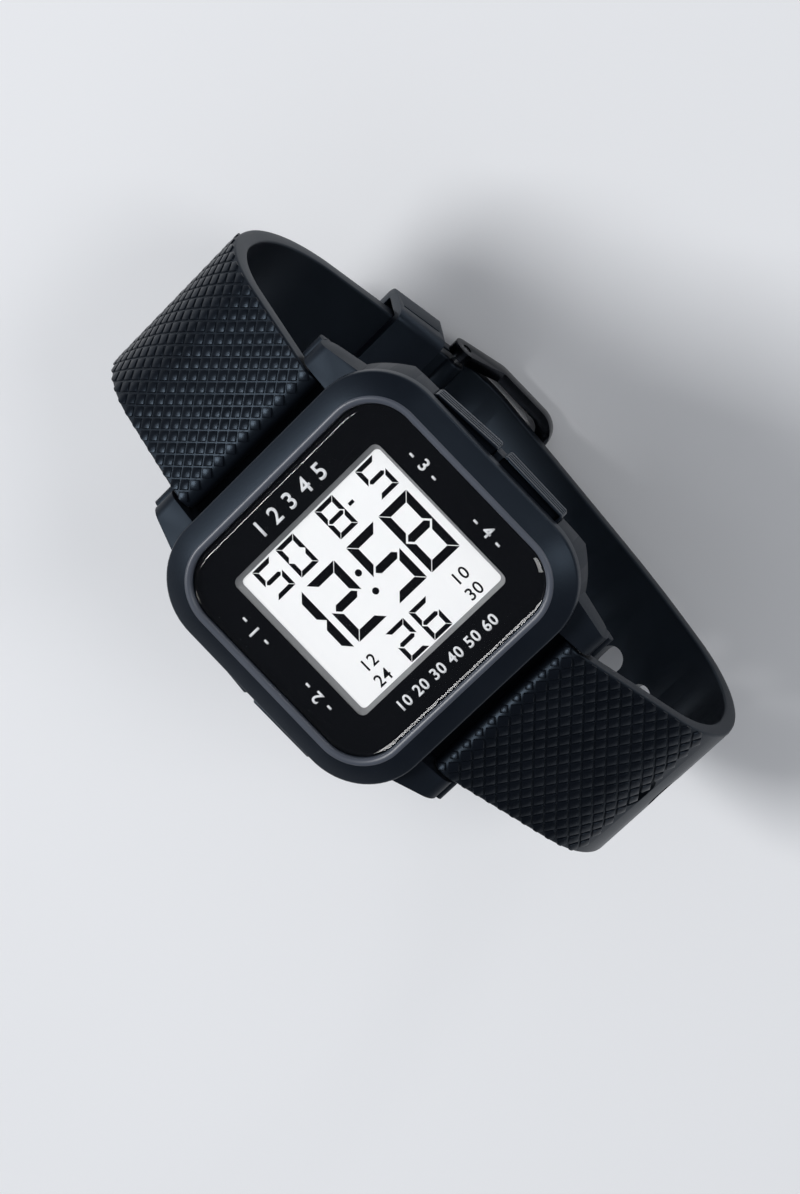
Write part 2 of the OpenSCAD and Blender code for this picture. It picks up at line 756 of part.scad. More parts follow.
module sounder_disc() {
    color("#c9a24a") seat() translate([sounder_at[0], sounder_at[1], -back_top]) {
        cylinder(d = piezo_d, h = sounder_t * 0.6, $fn = 96);
        translate([0, 0, sounder_t * 0.6 - 0.01]) cylinder(d = piezo_d * 0.7, h = sounder_t * 0.4, $fn = 96);
    }
}

module sounder_spring() {
    room = back_top - sounder_t - board_z - board_t - 0.04;
    color(steel) seat() translate([sounder_spring_at[0], sounder_spring_at[1], -back_top + sounder_t + 0.02])
        coil(0.8, 0.25, room, 4);
}

module back_gasket() {
    color("#15171b") seat() difference() {
        plate(bay_w + 2 * gasket_w, bay_l + 2 * gasket_w, bay_r + gasket_w, back_top - gasket_t + fit, back_top);
        plate(bay_w + 0.1, bay_l + 0.1, bay_r + 0.05, 0, case_h);
    }
}

module case_back() {
    color(steel) seat() difference() {
        plate(back_w, back_l, 2.9, back_top, case_h);
        for (x = [-1, 1], y = [-1, 1]) translate([x * screw_x, y * screw_y, -case_h - back_t]) {
            cylinder(r = screw_r + 0.12, h = 4 * back_t);
            cylinder(r = screw_head_r + fit, h = back_t + screw_head_t + seat_gap);
        }
    }
}

module back_screws() {
    color(steel) seat() for (x = [-1, 1], y = [-1, 1]) translate([x * screw_x, y * screw_y, -case_h + 0.05]) {
        difference() {
            cylinder(r = screw_head_r, h = screw_head_t);
            for (a = [0, 90]) rotate(a) translate([-screw_head_r * 0.7, -screw_slot_w / 2, -screw_slot_w])
                cube([screw_head_r * 1.4, screw_slot_w, 2 * screw_slot_w]);
        }
        translate([0, 0, screw_head_t - lap]) cylinder(r = screw_r, h = screw_l - screw_head_t);
    }
}

// Wedge cap with a hollow in its top behind a thin rib, and grooves along its outer face
module button_cap(far) {
    far_x = side_x + far;
    near_x = side_x + button_proud;
    lean = (near_x - far_x) / button_l;
    difference() {
        union() {
            translate([0, 0, -button_h / 2]) linear_extrude(button_h) polygon([
                [cap_back, -button_l / 2], [near_x - 0.2, -button_l / 2], [near_x, -button_l / 2 + 0.2],
                [far_x, button_l / 2 - 0.3], [far_x - 0.3, button_l / 2], [cap_back, button_l / 2]
            ]);
            rod_x(stem_r, stem_end, cap_back + 0.5);
        }
        for (z = [-1, 0, 1]) {
            translate([near_x, -button_l / 2, z * button_h / 4]) rotate([0, 0, atan(lean)])
                translate([-groove_d, -1, -0.13]) cube([1, button_l + 2, 0.26]);
        }
        translate([0, 0, button_h / 2 - hollow_d]) linear_extrude(hollow_d + 1) polygon([
            [side_x - 0.8, -button_l / 2 - 1], [near_x - rib_t + lean, -button_l / 2 - 1],
            [far_x - rib_t + 0.3 * lean, button_l / 2 - 0.3], [side_x - 0.8, button_l / 2 - 0.3]
        ]);
        translate([stem_end + 0.2, 0, 0]) difference() {
            rod_x(stem_r + 1, 0, clip_t + 0.04);
            rod_x(stem_r - 0.2, -1, 2);
        }
    }
}

module button_at(x, y) {
    scale([x, y, 1]) translate([0, bridge_w / 2 + 0.1 + button_l / 2, -button_z]) children();
}

module light_button() {
    color(resin_dark) seat() button_at(-1, 1) button_cap(button_far_12);
}

module mode_button() {
    color(resin_dark) seat() button_at(-1, -1) button_cap(button_far_6);
}

module start_button() {
    color(resin_dark) seat() button_at(1, 1) button_cap(button_far_12);
}

module reset_button() {
    color(resin_dark) seat() button_at(1, -1) button_cap(button_far_6);
}

// Open ring that snaps into the stem's groove inside the bay
module clip() {
    translate([stem_end + 0.22, 0, 0]) difference() {
        rod_x(clip_r, 0, clip_t);
        rod_x(stem_r - 0.18, -1, 2);
        translate([-1, -0.35, 0]) cube([3, 0.7, 3]);
    }
}

module light_clip() {
    color(steel) seat() button_at(-1, 1) clip();
}

module mode_clip() {
    color(steel) seat() button_at(-1, -1) clip();
}

module start_clip() {
    color(steel) seat() button_at(1, 1) clip();
}

module reset_clip() {
    color(steel) seat() button_at(1, -1) clip();
}

module button_spring() {
    translate([spring_floor + 0.02, 0, 0]) rotate([0, 90, 0])
        coil(spring_mean_r, spring_wire, cap_back - spring_floor - 0.04, spring_turns);
}

module light_spring() {
    color(steel) seat() button_at(-1, 1) button_spring();
}

module mode_spring() {
    color(steel) seat() button_at(-1, -1) button_spring();
}

module start_spring() {
    color(steel) seat() button_at(1, 1) button_spring();
}

module reset_spring() {
    color(steel) seat() button_at(1, -1) button_spring();
}

module button_seals() {
    color("#15171b") seat() for (x = [-1, 1]) button_side(x) {
        translate([groove_x + groove_l / 2, 0, 0]) rotate([0, 90, 0])
            rotate_extrude() translate([stem_r + 0.02 + seal_wire, 0]) circle(seal_wire, $fn = 24);
    }
}

module strap_buckle_half() {
    color(resin) seat() difference() {
        union() {
            strap_lug_end();
            at_point(a0, lead_a) strap_route([
                [run_a], [shoulder_a, 90 - lead_a], [ease_run], [side_a, heading_a - 90], [buckle_run]
            ], buckle_half_t);
            translate([0, pin_at[0], pin_at[1]]) rod_x(pin_boss_r, -strap_w / 2, strap_w / 2);
        }
        bar_bore();
        translate([0, pin_at[0], pin_at[1]]) rod_x(pin_r + 0.03, -strap_w, strap_w);
        // Slot that the tongue swings in
        at_point(pin_at, heading_a) translate([-tongue_w / 2 - 0.4, -2.4, -4]) cube([tongue_w + 0.8, 8, 8]);
    }
}

module strap_hole_half() {
    tip_r2 = strap_w / 2 - 3;
    color(resin) seat() mirror([0, 1, 0]) difference() {
        union() {
            strap_lug_end();
            at_point(b0, lead_b) strap_route([
                [run_b], [shoulder_b, 90 - lead_b], [ease_run], [side_b, heading_b - 90], [ease_run],
                [belly_r, belly_slope - reach_slope], [reach_l], [vertex_r, vertex_turn], [tail_l]
            ], hole_half_t);
        }
        bar_bore();
        // Rounded tip
        at_point(b8, heading_tail) translate([0, 0, -2 * hole_half_t]) linear_extrude(4 * hole_half_t) difference() {
            translate([-strap_w, -tip_r2]) square([2 * strap_w, 2 * tip_r2]);
            translate([0, -tip_r2]) scale([strap_w / 2 / tip_r2, 1]) circle(tip_r2, $fn = 96);
        }
        for (i = [-tail_holes:hole_count - tail_holes - 1]) {
            spot = route_b(tongue_hole_s - i * hole_pitch);
            at_point(spot[0], spot[1]) slot_cut(hole_w, hole_l, 4 * hole_half_t);
        }
    }
}

module bar_tube(y) {
    translate([0, y * bar_y, -bar_z]) difference() {
        rod_x(bar_r, -bar_half, bar_half);
        rod_x(collar_r + fit, -bar_half + 0.4, bar_half - 0.4);
        rod_x(tip_r + 0.03, -bar_half - 1, bar_half + 1);
    }
}

module spring_bar_12() {
    color(steel) seat() bar_tube(1);
}

module spring_bar_6() {
    color(steel) seat() bar_tube(-1);
}

module bar_tip(x, y) {
    scale([x, y, 1]) translate([0, bar_y, -bar_z]) {
        rod_x(tip_r, collar_x, tip_out - 0.2);
        translate([tip_out - 0.21, 0, 0]) rotate([0, 90, 0]) cylinder(r1 = tip_r, r2 = tip_r - 0.15, h = 0.2);
        rod_x(collar_r, collar_x, collar_x + collar_l);
    }
}

module bar_tip_12_right() {
    color(steel) seat() bar_tip(1, 1);
}

module bar_tip_12_left() {
    color(steel) seat() bar_tip(-1, 1);
}

module bar_tip_6_right() {
    color(steel) seat() bar_tip(1, -1);
}

module bar_tip_6_left() {
    color(steel) seat() bar_tip(-1, -1);
}

module bar_coil(y) {
    translate([-collar_x + 0.02, y * bar_y, -bar_z]) rotate([0, 90, 0])
        coil(0.4, 0.14, 2 * collar_x - 0.04, 12, 6, 4);
}

module bar_coil_12() {
    color(steel) seat() bar_coil(1);
}

module bar_coil_6() {
    color(steel) seat() bar_coil(-1);
}

// Side view of the rails, cut to the rounded frame that is seen from below
module buckle_frame() {
    color(steel_black) seat() difference() {
        intersection() {
            across(buckle_w) {
                link(pin_at, eye_r, [knee_y, rail_mid_z], rail_t / 2);
                link([knee_y, rail_mid_z], rail_t / 2, [bar_end_y, rail_mid_z], rail_t / 2);
            }
            translate([0, 0, -stand_h - 1]) linear_extrude(20) difference() {
                buckle_outline(buckle_w, bar_end_y - rail_t / 2, buckle_r);
                buckle_outline(buckle_w - 2 * rail_w, bar_end_y + rail_t / 2, buckle_r - rail_w);
            }
        }
        translate([0, pin_at[0], pin_at[1]]) rod_x(pin_r + fit, -buckle_w, buckle_w);
        // Notch for the tongue's tip
        translate([-tongue_w / 2 - 0.3, bar_end_y - 3, rail_low - 1])
            cube([tongue_w + 0.6, 6, tongue_mid_z + tongue_t / 2 + 0.1 - rail_low + 1]);
    }
}

module buckle_outline(w, y0, r) {
    y1 = pin_at[0] + 6;
    translate([-w / 2, y0 + r]) square([w, y1 - y0 - r]);
    translate([-w / 2 + r, y0]) square([w - 2 * r, r + 0.1]);
    for (x = [-1, 1]) translate([x * (w / 2 - r), y0 + r]) circle(r);
}

module buckle_tongue() {
    before = tongue_hole + [0.9, hole_half_t / 2 + 1.1];
    after = [tongue_hole[0] - 1.1, tongue_mid_z];
    color(steel_black) seat() difference() {
        union() {
            across(tongue_w) strip([pin_at, before, after, [bar_end_y - 0.6, tongue_mid_z]], tongue_t);
            translate([0, pin_at[0], pin_at[1]]) rod_x(pin_r + 0.65, -tongue_w / 2, tongue_w / 2);
        }
        translate([0, pin_at[0], pin_at[1]]) rod_x(pin_r + fit, -tongue_w, tongue_w);
    }
}

module buckle_pin() {
    color(steel) seat() translate([0, pin_at[0], pin_at[1]]) rod_x(pin_r, -buckle_w / 2 + 0.2, buckle_w / 2 - 0.2);
}

// Loop round both layers of the strap
module keeper() {
    inner_w = strap_w + 0.6;
    inner_h = buckle_half_t + layer_gap + hole_half_t + 0.3;
    mid = a5 - keeper_at * along(heading_a) + (layer_gap + hole_half_t) / 2 * outside(heading_a);
    color(resin_dark) seat() at_point(mid, heading_a) difference() {
        rotate([90, 0, 0]) translate([0, 0, -keeper_l / 2]) linear_extrude(keeper_l) difference() {
            round_rect(inner_w + 2 * keeper_t, inner_h + 2 * keeper_t, 1.3);
            round_rect(inner_w, inner_h, 0.3);
        }
        // Groove along each outer side
        for (x = [-1, 1]) translate([x * (inner_w / 2 + keeper_t), 0, -0.9]) cube([0.5, keeper_l - 1.4, 0.35], center = true);
    }
}

case();
bezel();
glass();
glass_seal();
face_mask();
window_frame();
lcd_panel();
light_guide();
lamp();
zebra_strips();
module_frame();
circuit_board();
chip();
quartz_can();
button_contacts();
coin_cell();
battery_clamp();
sounder_disc();
sounder_spring();
back_gasket();
case_back();
back_screws();
light_button();
mode_button();
start_button();
reset_button();
light_clip();
mode_clip();
start_clip();
reset_clip();
light_spring();
mode_spring();
start_spring();
reset_spring();
button_seals();
strap_buckle_half();
strap_hole_half();
spring_bar_12();
spring_bar_6();
bar_tip_12_right();
bar_tip_12_left();
bar_tip_6_right();
bar_tip_6_left();
bar_coil_12();
bar_coil_6();
buckle_frame();
buckle_tongue();
buckle_pin();
keeper();
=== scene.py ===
import math

import bmesh
import bpy
from mathutils import Matrix, Vector


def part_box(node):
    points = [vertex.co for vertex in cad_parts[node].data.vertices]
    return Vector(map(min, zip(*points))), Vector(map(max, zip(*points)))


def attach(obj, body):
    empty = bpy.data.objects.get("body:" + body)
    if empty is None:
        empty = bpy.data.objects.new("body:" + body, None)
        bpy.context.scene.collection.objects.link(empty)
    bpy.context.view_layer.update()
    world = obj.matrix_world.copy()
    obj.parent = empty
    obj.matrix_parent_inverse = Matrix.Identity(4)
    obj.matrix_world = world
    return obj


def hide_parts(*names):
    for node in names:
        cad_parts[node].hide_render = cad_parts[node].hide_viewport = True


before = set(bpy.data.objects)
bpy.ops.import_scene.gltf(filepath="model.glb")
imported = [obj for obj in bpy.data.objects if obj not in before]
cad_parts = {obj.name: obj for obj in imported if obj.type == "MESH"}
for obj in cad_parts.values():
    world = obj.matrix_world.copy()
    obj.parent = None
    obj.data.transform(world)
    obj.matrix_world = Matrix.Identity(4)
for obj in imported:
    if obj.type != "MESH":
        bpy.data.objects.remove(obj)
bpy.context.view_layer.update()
scene = bpy.context.scene
mm = 0.001

bezelLow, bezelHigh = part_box("bezel")
faceY = (bezelLow.y + bezelHigh.y) / 2  # middle of the case
faceZ = bezelHigh.z  # ridge of the bezel, from which depths are counted
print("frame loaded, ridge at", round(faceZ / mm, 2), "mm")


# ---- working in object and edit mode

def deselect():
    if bpy.context.mode != "OBJECT":
        bpy.ops.object.mode_set(mode="OBJECT")
    bpy.ops.object.select_all(action="DESELECT")


def choose(*objs):
    deselect()
    for obj in objs:
        obj.select_set(True)
    bpy.context.view_layer.objects.active = objs[-1]


def editing(obj, kind="FACE"):
    choose(obj)
    bpy.ops.object.mode_set(mode="EDIT")
    bpy.ops.mesh.select_mode(type=kind)
    bpy.ops.mesh.select_all(action="DESELECT")


def pick(kind, test):
    mesh = bmesh.from_edit_mesh(bpy.context.edit_object.data)
    bpy.ops.mesh.select_all(action="DESELECT")
    for item in {"verts": mesh.verts, "edges": mesh.edges, "faces": mesh.faces}[kind]:
        if test(item):
            item.select_set(True)
    mesh.select_flush_mode()
    bmesh.update_edit_mesh(bpy.context.edit_object.data)


def objectMode():
    bpy.ops.object.mode_set(mode="OBJECT")


def freeze(obj):
    choose(obj)
    bpy.ops.object.transform_apply(location=True, rotation=True, scale=True)
    return obj


def addModifier(obj, kind, **values):
    choose(obj)
    modifier = obj.modifiers.new(kind.lower(), kind)
    for name, value in values.items():
        setattr(modifier, name, value)
    bpy.ops.object.modifier_apply(modifier=modifier.name)


def roundEdges(obj, width, segments=3, angle=25):
    addModifier(
        obj, "BEVEL", width=width * mm, segments=segments, limit_method="ANGLE",
        angle_limit=math.radians(angle), miter_outer="MITER_ARC", use_clamp_overlap=True,
    )


def smooth(obj, angle=35):
    choose(obj)
    bpy.ops.object.shade_smooth_by_angle(angle=math.radians(angle))


def outwards(obj):
    editing(obj)
    bpy.ops.mesh.select_all(action="SELECT")
    bpy.ops.mesh.remove_doubles(threshold=0.001 * mm)
    bpy.ops.mesh.normals_make_consistent(inside=False)
    objectMode()


def boolean(obj, cutter, operation="DIFFERENCE"):
    addModifier(obj, "BOOLEAN", object=cutter, operation=operation, solver="EXACT")
    bpy.data.objects.remove(cutter)


def joined(objs):
    choose(*objs)
    bpy.ops.object.join()
    return bpy.context.active_object


def copied(obj, matrix):
    twin = obj.copy()
    twin.data = obj.data.copy()
    twin.data.transform(matrix)
    scene.collection.objects.link(twin)
    return twin


def finished(obj, name, body, material, replaces=()):
    obj.name = obj.data.name = name
    obj.data.materials.clear()
    obj.data.materials.append(material)
    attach(obj, body)
    if replaces:
        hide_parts(*replaces)
    return obj


# ---- shared shader effects

def newGroup(name, inputs, outputs):
    group = bpy.data.node_groups.new(name, "ShaderNodeTree")
    for title, kind, value in inputs:
        socket = group.interface.new_socket(title, in_out="INPUT", socket_type=kind)
        socket.default_value = value
    for title, kind in outputs:
        group.interface.new_socket(title, in_out="OUTPUT", socket_type=kind)
    return group, group.nodes.new("NodeGroupInput"), group.nodes.new("NodeGroupOutput")


def addNode(tree, kind, links=(), **values):
    node = tree.nodes.new(kind)
    for name, value in values.items():
        if name in node.inputs:
            node.inputs[name].default_value = value
        else:
            setattr(node, name, value)
    for socket, source in dict(links).items():
        tree.links.new(source, node.inputs[socket])
    return node


def mapped(tree, source, low, high, toLow=0.0, toHigh=1.0):
    node = addNode(
        tree, "ShaderNodeMapRange", {"Value": source},
        **{"From Min": low, "From Max": high, "To Min": toLow, "To Max": toHigh},
    )
    return node.outputs["Result"]


def blended(tree, factor, first, second, **values):
    # Each of the two colours is a socket to link or a plain value
    node = addNode(tree, "ShaderNodeMix", data_type="RGBA", **values)
    for place, source in ((0, factor), (6, first), (7, second)):
        if isinstance(source, (tuple, float)):
            node.inputs[place].default_value = source
        else:
            tree.links.new(source, node.inputs[place])
    return node.outputs[2]


def counted(tree, operation, *sources):
    node = addNode(tree, "ShaderNodeMath", operation=operation)
    for place, source in enumerate(sources):
        if isinstance(source, float):
            node.inputs[place].default_value = source
        else:
            tree.links.new(source, node.inputs[place])
    return node.outputs[0]


def makeMouldGrain():
    # Fine spark-eroded grain of a mould, with slow changes in tone and gloss
    group, enter, leave = newGroup(
        "mouldGrain",
        [
            ("Color", "NodeSocketColor", (0.02, 0.02, 0.02, 1)),
            ("Tone", "NodeSocketColor", (0.03, 0.03, 0.03, 1)),
            ("Roughness", "NodeSocketFloat", 0.45),
            ("Grain", "NodeSocketFloat", 5000.0),
            ("Spread", "NodeSocketFloat", 0.06),
        ],
        [("Color", "NodeSocketColor"), ("Roughness", "NodeSocketFloat"), ("Height", "NodeSocketFloat")],
    )
    place = addNode(group, "ShaderNodeTexCoord").outputs["Object"]
    slow = addNode(group, "ShaderNodeTexNoise", {"Vector": place}, Scale=160.0, Detail=3.0, Roughness=0.55)
    fine = addNode(
        group, "ShaderNodeTexNoise", {"Vector": place, "Scale": enter.outputs["Grain"]},
        Detail=2.0, Roughness=0.6,
    )
    tone = mapped(group, slow.outputs["Fac"], 0.35, 0.7)
    color = blended(group, tone, enter.outputs["Color"], enter.outputs["Tone"])
    swing = counted(group, "SUBTRACT", slow.outputs["Fac"], 0.5)
    rough = counted(group, "MULTIPLY_ADD", swing, enter.outputs["Spread"], enter.outputs["Roughness"])
    group.links.new(color, leave.inputs["Color"])
    group.links.new(rough, leave.inputs["Roughness"])
    group.links.new(fine.outputs["Fac"], leave.inputs["Height"])
    return group


def makeBrushing():
    # Long fine scratches along one axis
    group, enter, leave = newGroup(
        "brushing",
        [
            ("Color", "NodeSocketColor", (0.6, 0.6, 0.6, 1)),
            ("Stretch", "NodeSocketVector", (40.0, 1500.0, 1500.0)),
            ("Roughness", "NodeSocketFloat", 0.3),
        ],
        [("Color", "NodeSocketColor"), ("Roughness", "NodeSocketFloat"), ("Height", "NodeSocketFloat")],
    )
    place = addNode(group, "ShaderNodeTexCoord").outputs["Object"]
    pulled = addNode(group, "ShaderNodeVectorMath", operation="MULTIPLY")
    group.links.new(place, pulled.inputs[0])
    group.links.new(enter.outputs["Stretch"], pulled.inputs[1])
    lines = addNode(
        group, "ShaderNodeTexNoise", {"Vector": pulled.outputs[0]}, Scale=4.0, Detail=4.0, Roughness=0.7
    ).outputs["Fac"]
    color = blended(group, 0.25, enter.outputs["Color"], lines, blend_type="MULTIPLY")
    group.links.new(color, leave.inputs["Color"])
    rough = counted(group, "MULTIPLY_ADD", lines, 0.15, enter.outputs["Roughness"])
    group.links.new(rough, leave.inputs["Roughness"])
    group.links.new(lines, leave.inputs["Height"])
    return group


mouldGrain = makeMouldGrain()
brushing = makeBrushing()


def newMaterial(name):
    material = bpy.data.materials.new(name)
    material.use_nodes = True
    tree = material.node_tree
    return material, tree, tree.nodes["Principled BSDF"]


def dressed(name, group, values, bump, sockets):
    # A surface whose colour, gloss and relief come from one of the shared effects
    material, tree, surface = newMaterial(name)
    effect = addNode(tree, "ShaderNodeGroup", node_tree=group)
    for title, value in values.items():
        effect.inputs[title].default_value = value
    relief = addNode(
        tree, "ShaderNodeBump", {"Height": effect.outputs["Height"]}, Strength=1.0, Distance=bump * mm
    )
    tree.links.new(effect.outputs["Color"], surface.inputs["Base Color"])
    tree.links.new(effect.outputs["Roughness"], surface.inputs["Roughness"])
    tree.links.new(relief.outputs["Normal"], surface.inputs["Normal"])
    for title, value in sockets.items():
        surface.inputs[title.replace("_", " ")].default_value = value
    return material


def plastic(name, color, tone, roughness, grain=5000.0, bump=0.02, **sockets):
    values = {"Color": (*color, 1), "Tone": (*tone, 1), "Roughness": roughness, "Grain": grain, "Spread": 0.1}
    return dressed(name, mouldGrain, values, bump, sockets)


def metal(name, color, roughness, stretch=(40.0, 1500.0, 1500.0), bump=0.004):
    values = {"Color": (*color, 1), "Stretch": stretch, "Roughness": roughness}
    return dressed(name, brushing, values, bump, {"Metallic": 1.0})


def windowGlass(name, values):
    material, tree, surface = newMaterial(name)
    surface.inputs["Base Color"].default_value = (1, 1, 1, 1)
    surface.inputs["Transmission Weight"].default_value = 1.0
    surface.inputs["IOR"].default_value = values["ior"]
    place = addNode(tree, "ShaderNodeTexCoord").outputs["Object"]
    smears = addNode(tree, "ShaderNodeTexNoise", {"Vector": place}, Scale=90.0, Detail=4.0, Roughness=0.65)
    haze = mapped(tree, smears.outputs["Fac"], 0.45, 0.8, values["clear"], values["smeared"])
    tree.links.new(haze, surface.inputs["Roughness"])
    # Lamp light and scattered light pass straight through, so that the display is lit
    path = addNode(tree, "ShaderNodeLightPath")
    straight = counted(tree, "MAXIMUM", path.outputs["Is Shadow Ray"], path.outputs["Is Diffuse Ray"])
    clear = addNode(tree, "ShaderNodeBsdfTransparent")
    either = addNode(
        tree, "ShaderNodeMixShader", {0: straight, 1: surface.outputs[0], 2: clear.outputs[0]}
    )
    tree.links.new(either.outputs[0], tree.nodes["Material Output"].inputs["Surface"])
    return material


coolSheen = {"Specular_Tint": (0.6, 0.78, 1.0, 1)}
resin = plastic(
    "bezelResin", (0.0045, 0.006, 0.0095), (0.006, 0.0078, 0.0122), 0.39,
    grain=6500.0, bump=0.01, Specular_IOR_Level=0.38, **coolSheen,
)
# The rim bead's colour is about ten times lighter than the bezel resin. Part of that is a lighter finish of
# its own, and part is a painted highlight standing in for the key light the bead catches.
rimToneAndPaintedHighlight = plastic("rimToneAndPaintedHighlight", (0.062, 0.071, 0.092), (0.07, 0.08, 0.103), 0.34, grain=6500.0, bump=0.008)
caseResin = plastic(
    "caseResin", (0.0045, 0.006, 0.0092), (0.006, 0.0078, 0.012), 0.5,
    grain=6500.0, bump=0.01, Specular_IOR_Level=0.3, **coolSheen,
)
strapResin = plastic(
    "strapResin", (0.003, 0.004, 0.0062), (0.004, 0.0053, 0.0082), 0.42,
    grain=7500.0, bump=0.01, Specular_IOR_Level=0.35, **coolSheen,
)
padResin = plastic(
    "padResin", (0.0036, 0.0047, 0.0072), (0.0048, 0.0062, 0.0094), 0.3,
    grain=7500.0, bump=0.008, Specular_IOR_Level=0.22, **coolSheen,
)
buttonResin = plastic(
    "buttonResin", (0.0065, 0.0085, 0.013), (0.0085, 0.011, 0.0165), 0.32,
    grain=8000.0, bump=0.01, **coolSheen,
)
keeperResin = plastic(
    "keeperResin", (0.0055, 0.0072, 0.011), (0.007, 0.0092, 0.014), 0.36,
    grain=7500.0, bump=0.01, **coolSheen,
)
blackSteel = metal("blackSteel", (0.035, 0.038, 0.045), 0.16, bump=0.002)
glass = windowGlass("crystal", {"ior": 1.47, "clear": 0.01, "smeared": 0.05})
inGlass = {"Specular_IOR_Level": 0.0}  # printed on the glass, so with no shine of its own
maskInk = plastic("maskInk", (0.0022, 0.0026, 0.0036), (0.003, 0.0034, 0.0045), 0.5, bump=0.002, **inGlass)
printInk = plastic("printInk", (0.8, 0.82, 0.84), (0.88, 0.89, 0.9), 0.6, bump=0.003, **inGlass)
lcdFilm = plastic("lcdFilm", (0.965, 0.97, 0.97), (0.98, 0.983, 0.983), 0.4, grain=3000.0, bump=0.002)
digitInk = plastic("digitInk", (0.0025, 0.0025, 0.0035), (0.004, 0.004, 0.005), 0.5, bump=0.002, **inGlass)
whitePlastic = plastic("whitePlastic", (0.72, 0.71, 0.67), (0.78, 0.77, 0.73), 0.4, bump=0.01)
frameGrey = plastic("frameGrey", (0.185, 0.19, 0.195), (0.22, 0.225, 0.23), 0.4, grain=3000.0, bump=0.004)
blackRubber = plastic("blackRubber", (0.012, 0.012, 0.013), (0.018, 0.018, 0.019), 0.6, bump=0.02)
zebraRubber = plastic("zebraRubber", (0.55, 0.3, 0.34), (0.62, 0.36, 0.4), 0.55, bump=0.02)
boardMask = plastic("boardMask", (0.012, 0.13, 0.045), (0.02, 0.17, 0.06), 0.3, grain=2500.0, bump=0.02)
epoxyDrop = plastic("epoxyDrop", (0.008, 0.008, 0.008), (0.014, 0.013, 0.013), 0.22, bump=0.01)
lampResin = plastic("lampResin", (0.85, 0.8, 0.5), (0.9, 0.85, 0.6), 0.25, bump=0.004)
guideAcrylic = plastic("guideAcrylic", (0.82, 0.84, 0.84), (0.88, 0.89, 0.89), 0.2, bump=0.004)
steel = metal("steel", (0.56, 0.57, 0.58), 0.22)
backSteel = metal("backSteel", (0.55, 0.56, 0.57), 0.28, stretch=(30.0, 1800.0, 1800.0), bump=0.006)
brass = metal("brass", (0.72, 0.5, 0.2), 0.25)

nodeMaterials = {
    "face_mask": maskInk, "window_frame": frameGrey, "glass_seal": blackRubber, "lcd_panel": lcdFilm,
    "light_guide": guideAcrylic, "lamp": lampResin, "zebra_strips": zebraRubber, "module_frame": whitePlastic,
    "circuit_board": boardMask, "chip": epoxyDrop, "sounder_disc": brass, "back_gasket": blackRubber,
    "case_back": backSteel, "button_seals": blackRubber, "case": caseResin, "bezel": resin, "glass": glass,
    "keeper": keeperResin, "buckle_frame": blackSteel, "buckle_tongue": blackSteel,
    "strap_buckle_half": strapResin, "strap_hole_half": strapResin,
}
# The other nodes are buttons, or springs, clips and fittings of steel
for name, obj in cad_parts.items():
    chosen = nodeMaterials.get(name, buttonResin if name.endswith("_button") else steel)
    obj.data.materials.clear()
    obj.data.materials.append(chosen)
print("materials made")


# ---- rings and plates from rounded outlines

def outline(width, length, radius, depth, segments=20):
    # One closed loop of edges, its depth counted down from the bezel's ridge
    deselect()
    bpy.ops.mesh.primitive_plane_add(size=1, location=(0, faceY, faceZ - depth * mm))
    loop = bpy.context.active_object
    loop.scale = (width * mm, length * mm, 1)
    freeze(loop)
    editing(loop, "VERT")
    bpy.ops.mesh.select_all(action="SELECT")
    bpy.ops.mesh.bevel(offset=radius * mm, segments=segments, affect="VERTICES")
    bpy.ops.mesh.select_all(action="SELECT")
    bpy.ops.mesh.delete(type="ONLY_FACE")
    objectMode()
    return loop


def stacked(outlines, capFirst=False, capLast=False, closed=False):
    loops = [outline(*values) for values in outlines]
    for i, loop in enumerate(loops):
        loop.vertex_groups.new(name=f"loop{i}").add(range(len(loop.data.vertices)), 1.0, "REPLACE")
    ring = joined(loops)
    groups = {group.name: group.index for group in ring.vertex_groups}
    editing(ring, "VERT")

    def pickLoops(*wanted):
        bpy.ops.mesh.select_mode(type="VERT")
        layer = bmesh.from_edit_mesh(ring.data).verts.layers.deform.verify()
        pick("verts", lambda v: any(groups[f"loop{i}"] in v[layer] for i in wanted))

    for a in range(len(loops) - (not closed)):
        pickLoops(a, (a + 1) % len(loops))
        bpy.ops.mesh.select_mode(type="EDGE")
        bpy.ops.mesh.bridge_edge_loops()
    for capped, which in ((capFirst, 0), (capLast, len(loops) - 1)):
        if capped:
            pickLoops(which)
            bpy.ops.mesh.edge_face_add()
    bpy.ops.mesh.select_all(action="SELECT")
    bpy.ops.mesh.normals_make_consistent(inside=False)
    objectMode()
    ring.vertex_groups.clear()
    return ring


bezelValues = {
    "width": 40.7, "length": 37.6, "corner": 8.7, "foot": 2.5, "shoulder": 1.25,
    # The outer slope is rounded where it meets the upright side: distance in and depth below the shoulder
    "round": [(0.0, 0.3), (0.03, 0.12), (0.1, 0.0), (0.24, -0.11)],
    "ridgeWidth": 35.7, "ridgeLength": 32.6, "ridgeCorner": 6.4,
    "holeWidth": 33.8, "holeLength": 30.7, "holeCorner": 5.45,
    # Half round bead that runs round the glass: distance in from the ridge and depth
    "bead": [(0.0, 0.16), (0.06, 0.07), (0.2, 0.01), (0.42, 0.0), (0.64, 0.05), (0.8, 0.17), (0.88, 0.34)],
    "seat": 0.6, "rimGap": 0.03, "ledge": 1.75, "ledgeWidth": 1.05,
}


